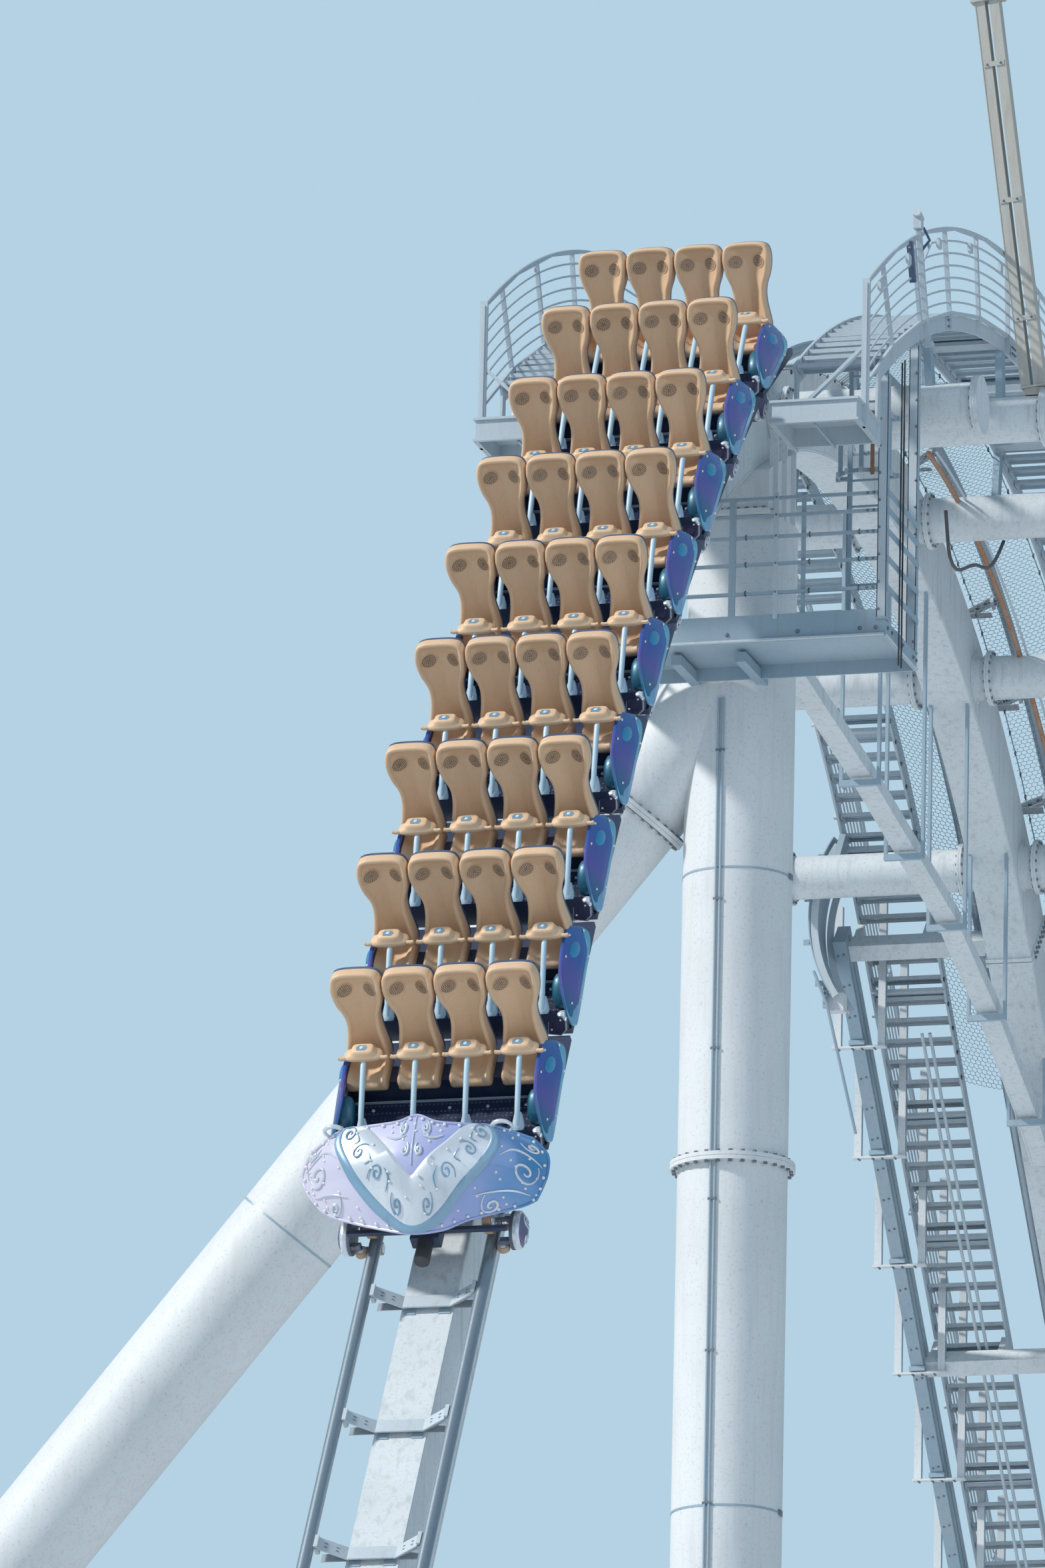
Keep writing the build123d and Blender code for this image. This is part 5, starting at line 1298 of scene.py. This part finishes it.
# rolled edge and pearl studs round the shield
nose.tube(edge_line + edge_line[:1], 0.008, 8)
way = 0
for n, (j, i) in enumerate(border):
    way += (edge_line[n] - edge_line[n - 1]).length
    if way > 0.062:
        way = 0
        nose_stud((-1 + 2 * i / columns) * 0.955, 0.05 + j / rows * 0.9, 0.003,
                  [(0.009, 0), (0.008, 0.006), (0.004, 0.009)], 12)

# raised band on the shield, between two lines of (u, v), with a thick outer rim in the silver's
# painted shade
outer_half = [(0.60, 0.0), (0.70, 0.03), (0.73, 0.12), (0.68, 0.30), (0.58, 0.50), (0.46, 0.70),
              (0.32, 0.86), (0.16, 0.96), (0.0, 1.0)]
inner_half = [(0.585, 0.01), (0.53, 0.015), (0.47, 0.05), (0.38, 0.17), (0.29, 0.29), (0.2, 0.40),
              (0.12, 0.49), (0.05, 0.56), (0.0, 0.60)]


def fine_line(half):
    """Both halves of a line of the band, drawn finely."""
    whole = [(-u, v) for u, v in half] + [(u, v) for u, v in reversed(half[:-1])]
    return [curve(whole, k / 60) for k in range(61)]


band = [[on_nose(*a.lerp(b, share), height) for share, height in (
    (0.0, 0.0), (0.0, 0.013), (0.05, 0.0169), (0.16, 0.0169), (0.19, 0.0117), (0.55, 0.01495),
    (0.93, 0.013), (1, 0.0))] for a, b in zip(fine_line(outer_half), fine_line(inner_half))]
nose.loft([ring[:5] for ring in band], 4, closed=False)
nose.loft([ring[4:] for ring in band], 1, closed=False)
for ring in (band[0], band[-1]):
    nose.add(ring, [range(len(ring))], 1)


def scroll(u, v, size, way, start, tail, style):
    """A raised spiral on the shield that thins towards its eye, with a curling tail."""
    thick, slot, lift = style
    line, thicknesses = [], []
    for k in range(44):
        share = k / 43
        t = start + way * 3 * pi * share
        r = size * (0.12 + 0.88 * share ** 0.9) + tail * max(0.0, share - 0.8) ** 2 * 12
        line.append(on_nose(u + r * cos(t), v + r * 1.7 * sin(t), lift + thick * 0.5))
        thicknesses.append(thick * (0.35 + 0.9 * sin(pi * (0.12 + 0.8 * share))))
    nose.tube(line, thicknesses, 7, slot)


def sprig(points, style):
    """A raised curved stroke on the shield, thin at both ends."""
    thick, slot, lift = style
    nose.tube([on_nose(*curve(points, k / 16), lift + thick * 0.4) for k in range(17)],
              [thick * (0.25 + 0.8 * sin(pi * k / 16)) for k in range(17)], 7, slot)


# ornament: thickness, finish and lift of what lies on the field and of what lies on the band; what
# lies on the band is drawn in the silver's painted shade, as engraved lines
on_field, on_band = (0.006, 1, 0.0), (0.004, 4, 0.0145)
for side in (-1, 1):
    for u, v, size, way, start, tail, style in (
            (0.80, 0.58, 0.095, -1, 2.6, 0.06, on_field),
            (0.60, 0.90, 0.045, 1, 1.0, 0.05, on_field),
            (0.90, 0.22, 0.04, 1, 0.4, 0.04, on_field),
            (0.13, 0.14, 0.045, -1, 1.9, 0.03, on_field),
            (0.07, 0.38, 0.035, 1, 1.2, 0.03, on_field),
            (0.60, 0.13, 0.055, 1, 2.4, 0.03, on_band),
            (0.47, 0.36, 0.05, -1, 0.6, 0.05, on_band),
            (0.30, 0.58, 0.045, 1, 3.6, 0.05, on_band),
            (0.13, 0.80, 0.045, -1, 2.2, 0.03, on_band)):
        scroll(side * u, v, size, way * side, start if side > 0 else pi - start, tail, style)
    for points, style in ((((0.66, 0.40), (0.80, 0.30), (0.94, 0.46)), on_field),
                          (((0.50, 0.80), (0.68, 0.78), (0.84, 0.86)), on_field),
                          (((0.30, 0.20), (0.20, 0.24), (0.08, 0.22)), on_field),
                          (((0.54, 0.26), (0.50, 0.22), (0.53, 0.14)), on_band),
                          (((0.40, 0.50), (0.36, 0.46), (0.40, 0.36)), on_band),
                          (((0.22, 0.72), (0.20, 0.62), (0.24, 0.54)), on_band)):
        sprig([(side * u, v) for u, v in points], style)
    # a hooked ring at each top corner
    corner = on_nose(side * 0.76, 0.0)
    nose.tube([corner + Vector((side * (0.03 - 0.05 * c), 0, 0.04 * s))
               for c, s in circle(1, 20)[:15]], [0.014 - 0.0005 * k for k in range(15)], 8, 1)
nose.tube([on_nose(0, 0.02 + 0.5 * k / 12, 0.003) for k in range(13)], 0.0035, 6, 1)
# pearl studs strewn over the field and the band, clear of the band's edges
for n in range(84):
    u, v = -0.95 + 1.9 * ((n * 0.7549) % 1.0), 0.06 + 0.88 * ((n * 0.5698) % 1.0)
    band_outer, band_inner = 0.72 - 0.72 * max(0.0, v - 0.1), 0.55 - 0.92 * v
    if min(abs(abs(u) - band_outer), abs(abs(u) - band_inner)) > 0.05:
        nose_stud(u, v, 0.0155 if band_inner < abs(u) < band_outer else 0.0,
                  [(0.0075, 0), (0.0065, 0.0045), (0.003, 0.0068)], 10)
nose.make("nose_shield", (nose_field_painted_sunlight, silver, pearl, shell_navy, silver_painted_shade),
          instead=("nose_fairing",), sharp=45)

# Struts from the shield down to the lead car's beams
struts = Shape()
for x in (-0.36, 0.36):
    for y, z in ((-0.02, 0.33), (0.14, 0.42)):
        struts.bar(lead_frame @ Vector((x, y + 0.05, 0.12)),
                   lead_frame @ Vector((x * 1.05, y + 0.03, z)), 0.03, 0.012)
struts.make("nose_struts", (dark_grey,))

# Stage: a plain pale floor under a pale sky-lit room
floor = Shape()
floor.box((0, 0, -0.05), (160, 160, 0.1))
floor_paint, _, _ = shader("floor", 0.8, 0, 0, (0.78, 0.79, 0.80))
floor.make("floor", (floor_paint,), body=None)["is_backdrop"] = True
scene.world = scene.world or bpy.data.worlds.new("room")
scene.world.use_nodes = True
sky = scene.world.node_tree
sky_light = fill_inputs(sky, sky.nodes["Background"], [(0, (0.48, 0.68, 0.86, 1)), (1, 0.5)])
backdrop = node(sky, "Background", [(0, (0.50, 0.70, 0.84, 1)), (1, 0.92)])
seen = node(sky, "LightPath").outputs["Is Camera Ray"]
both = node(sky, "MixShader", [(0, seen), (1, sky_light.outputs[0]), (2, backdrop.outputs[0])])
sky.links.new(both.outputs[0], sky.nodes["World Output"].inputs["Surface"])


def sun(name, towards, strength, width, colour):
    lamp = bpy.data.objects.new(name, bpy.data.lights.new(name, "SUN"))
    lamp.data.energy, lamp.data.angle, lamp.data.color = strength, radians(width), colour
    lamp.rotation_mode = "QUATERNION"
    lamp.rotation_quaternion = Vector(towards).to_track_quat("-Z", "Y")
    scene.collection.objects.link(lamp)


sun("key light", (0.66, 0.42, -0.62), 3.1, 5, (1.0, 0.97, 0.92))
sun("fill light", (-0.5, 0.8, -0.2), 0.35, 40, (0.85, 0.92, 1.0))

low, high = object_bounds()
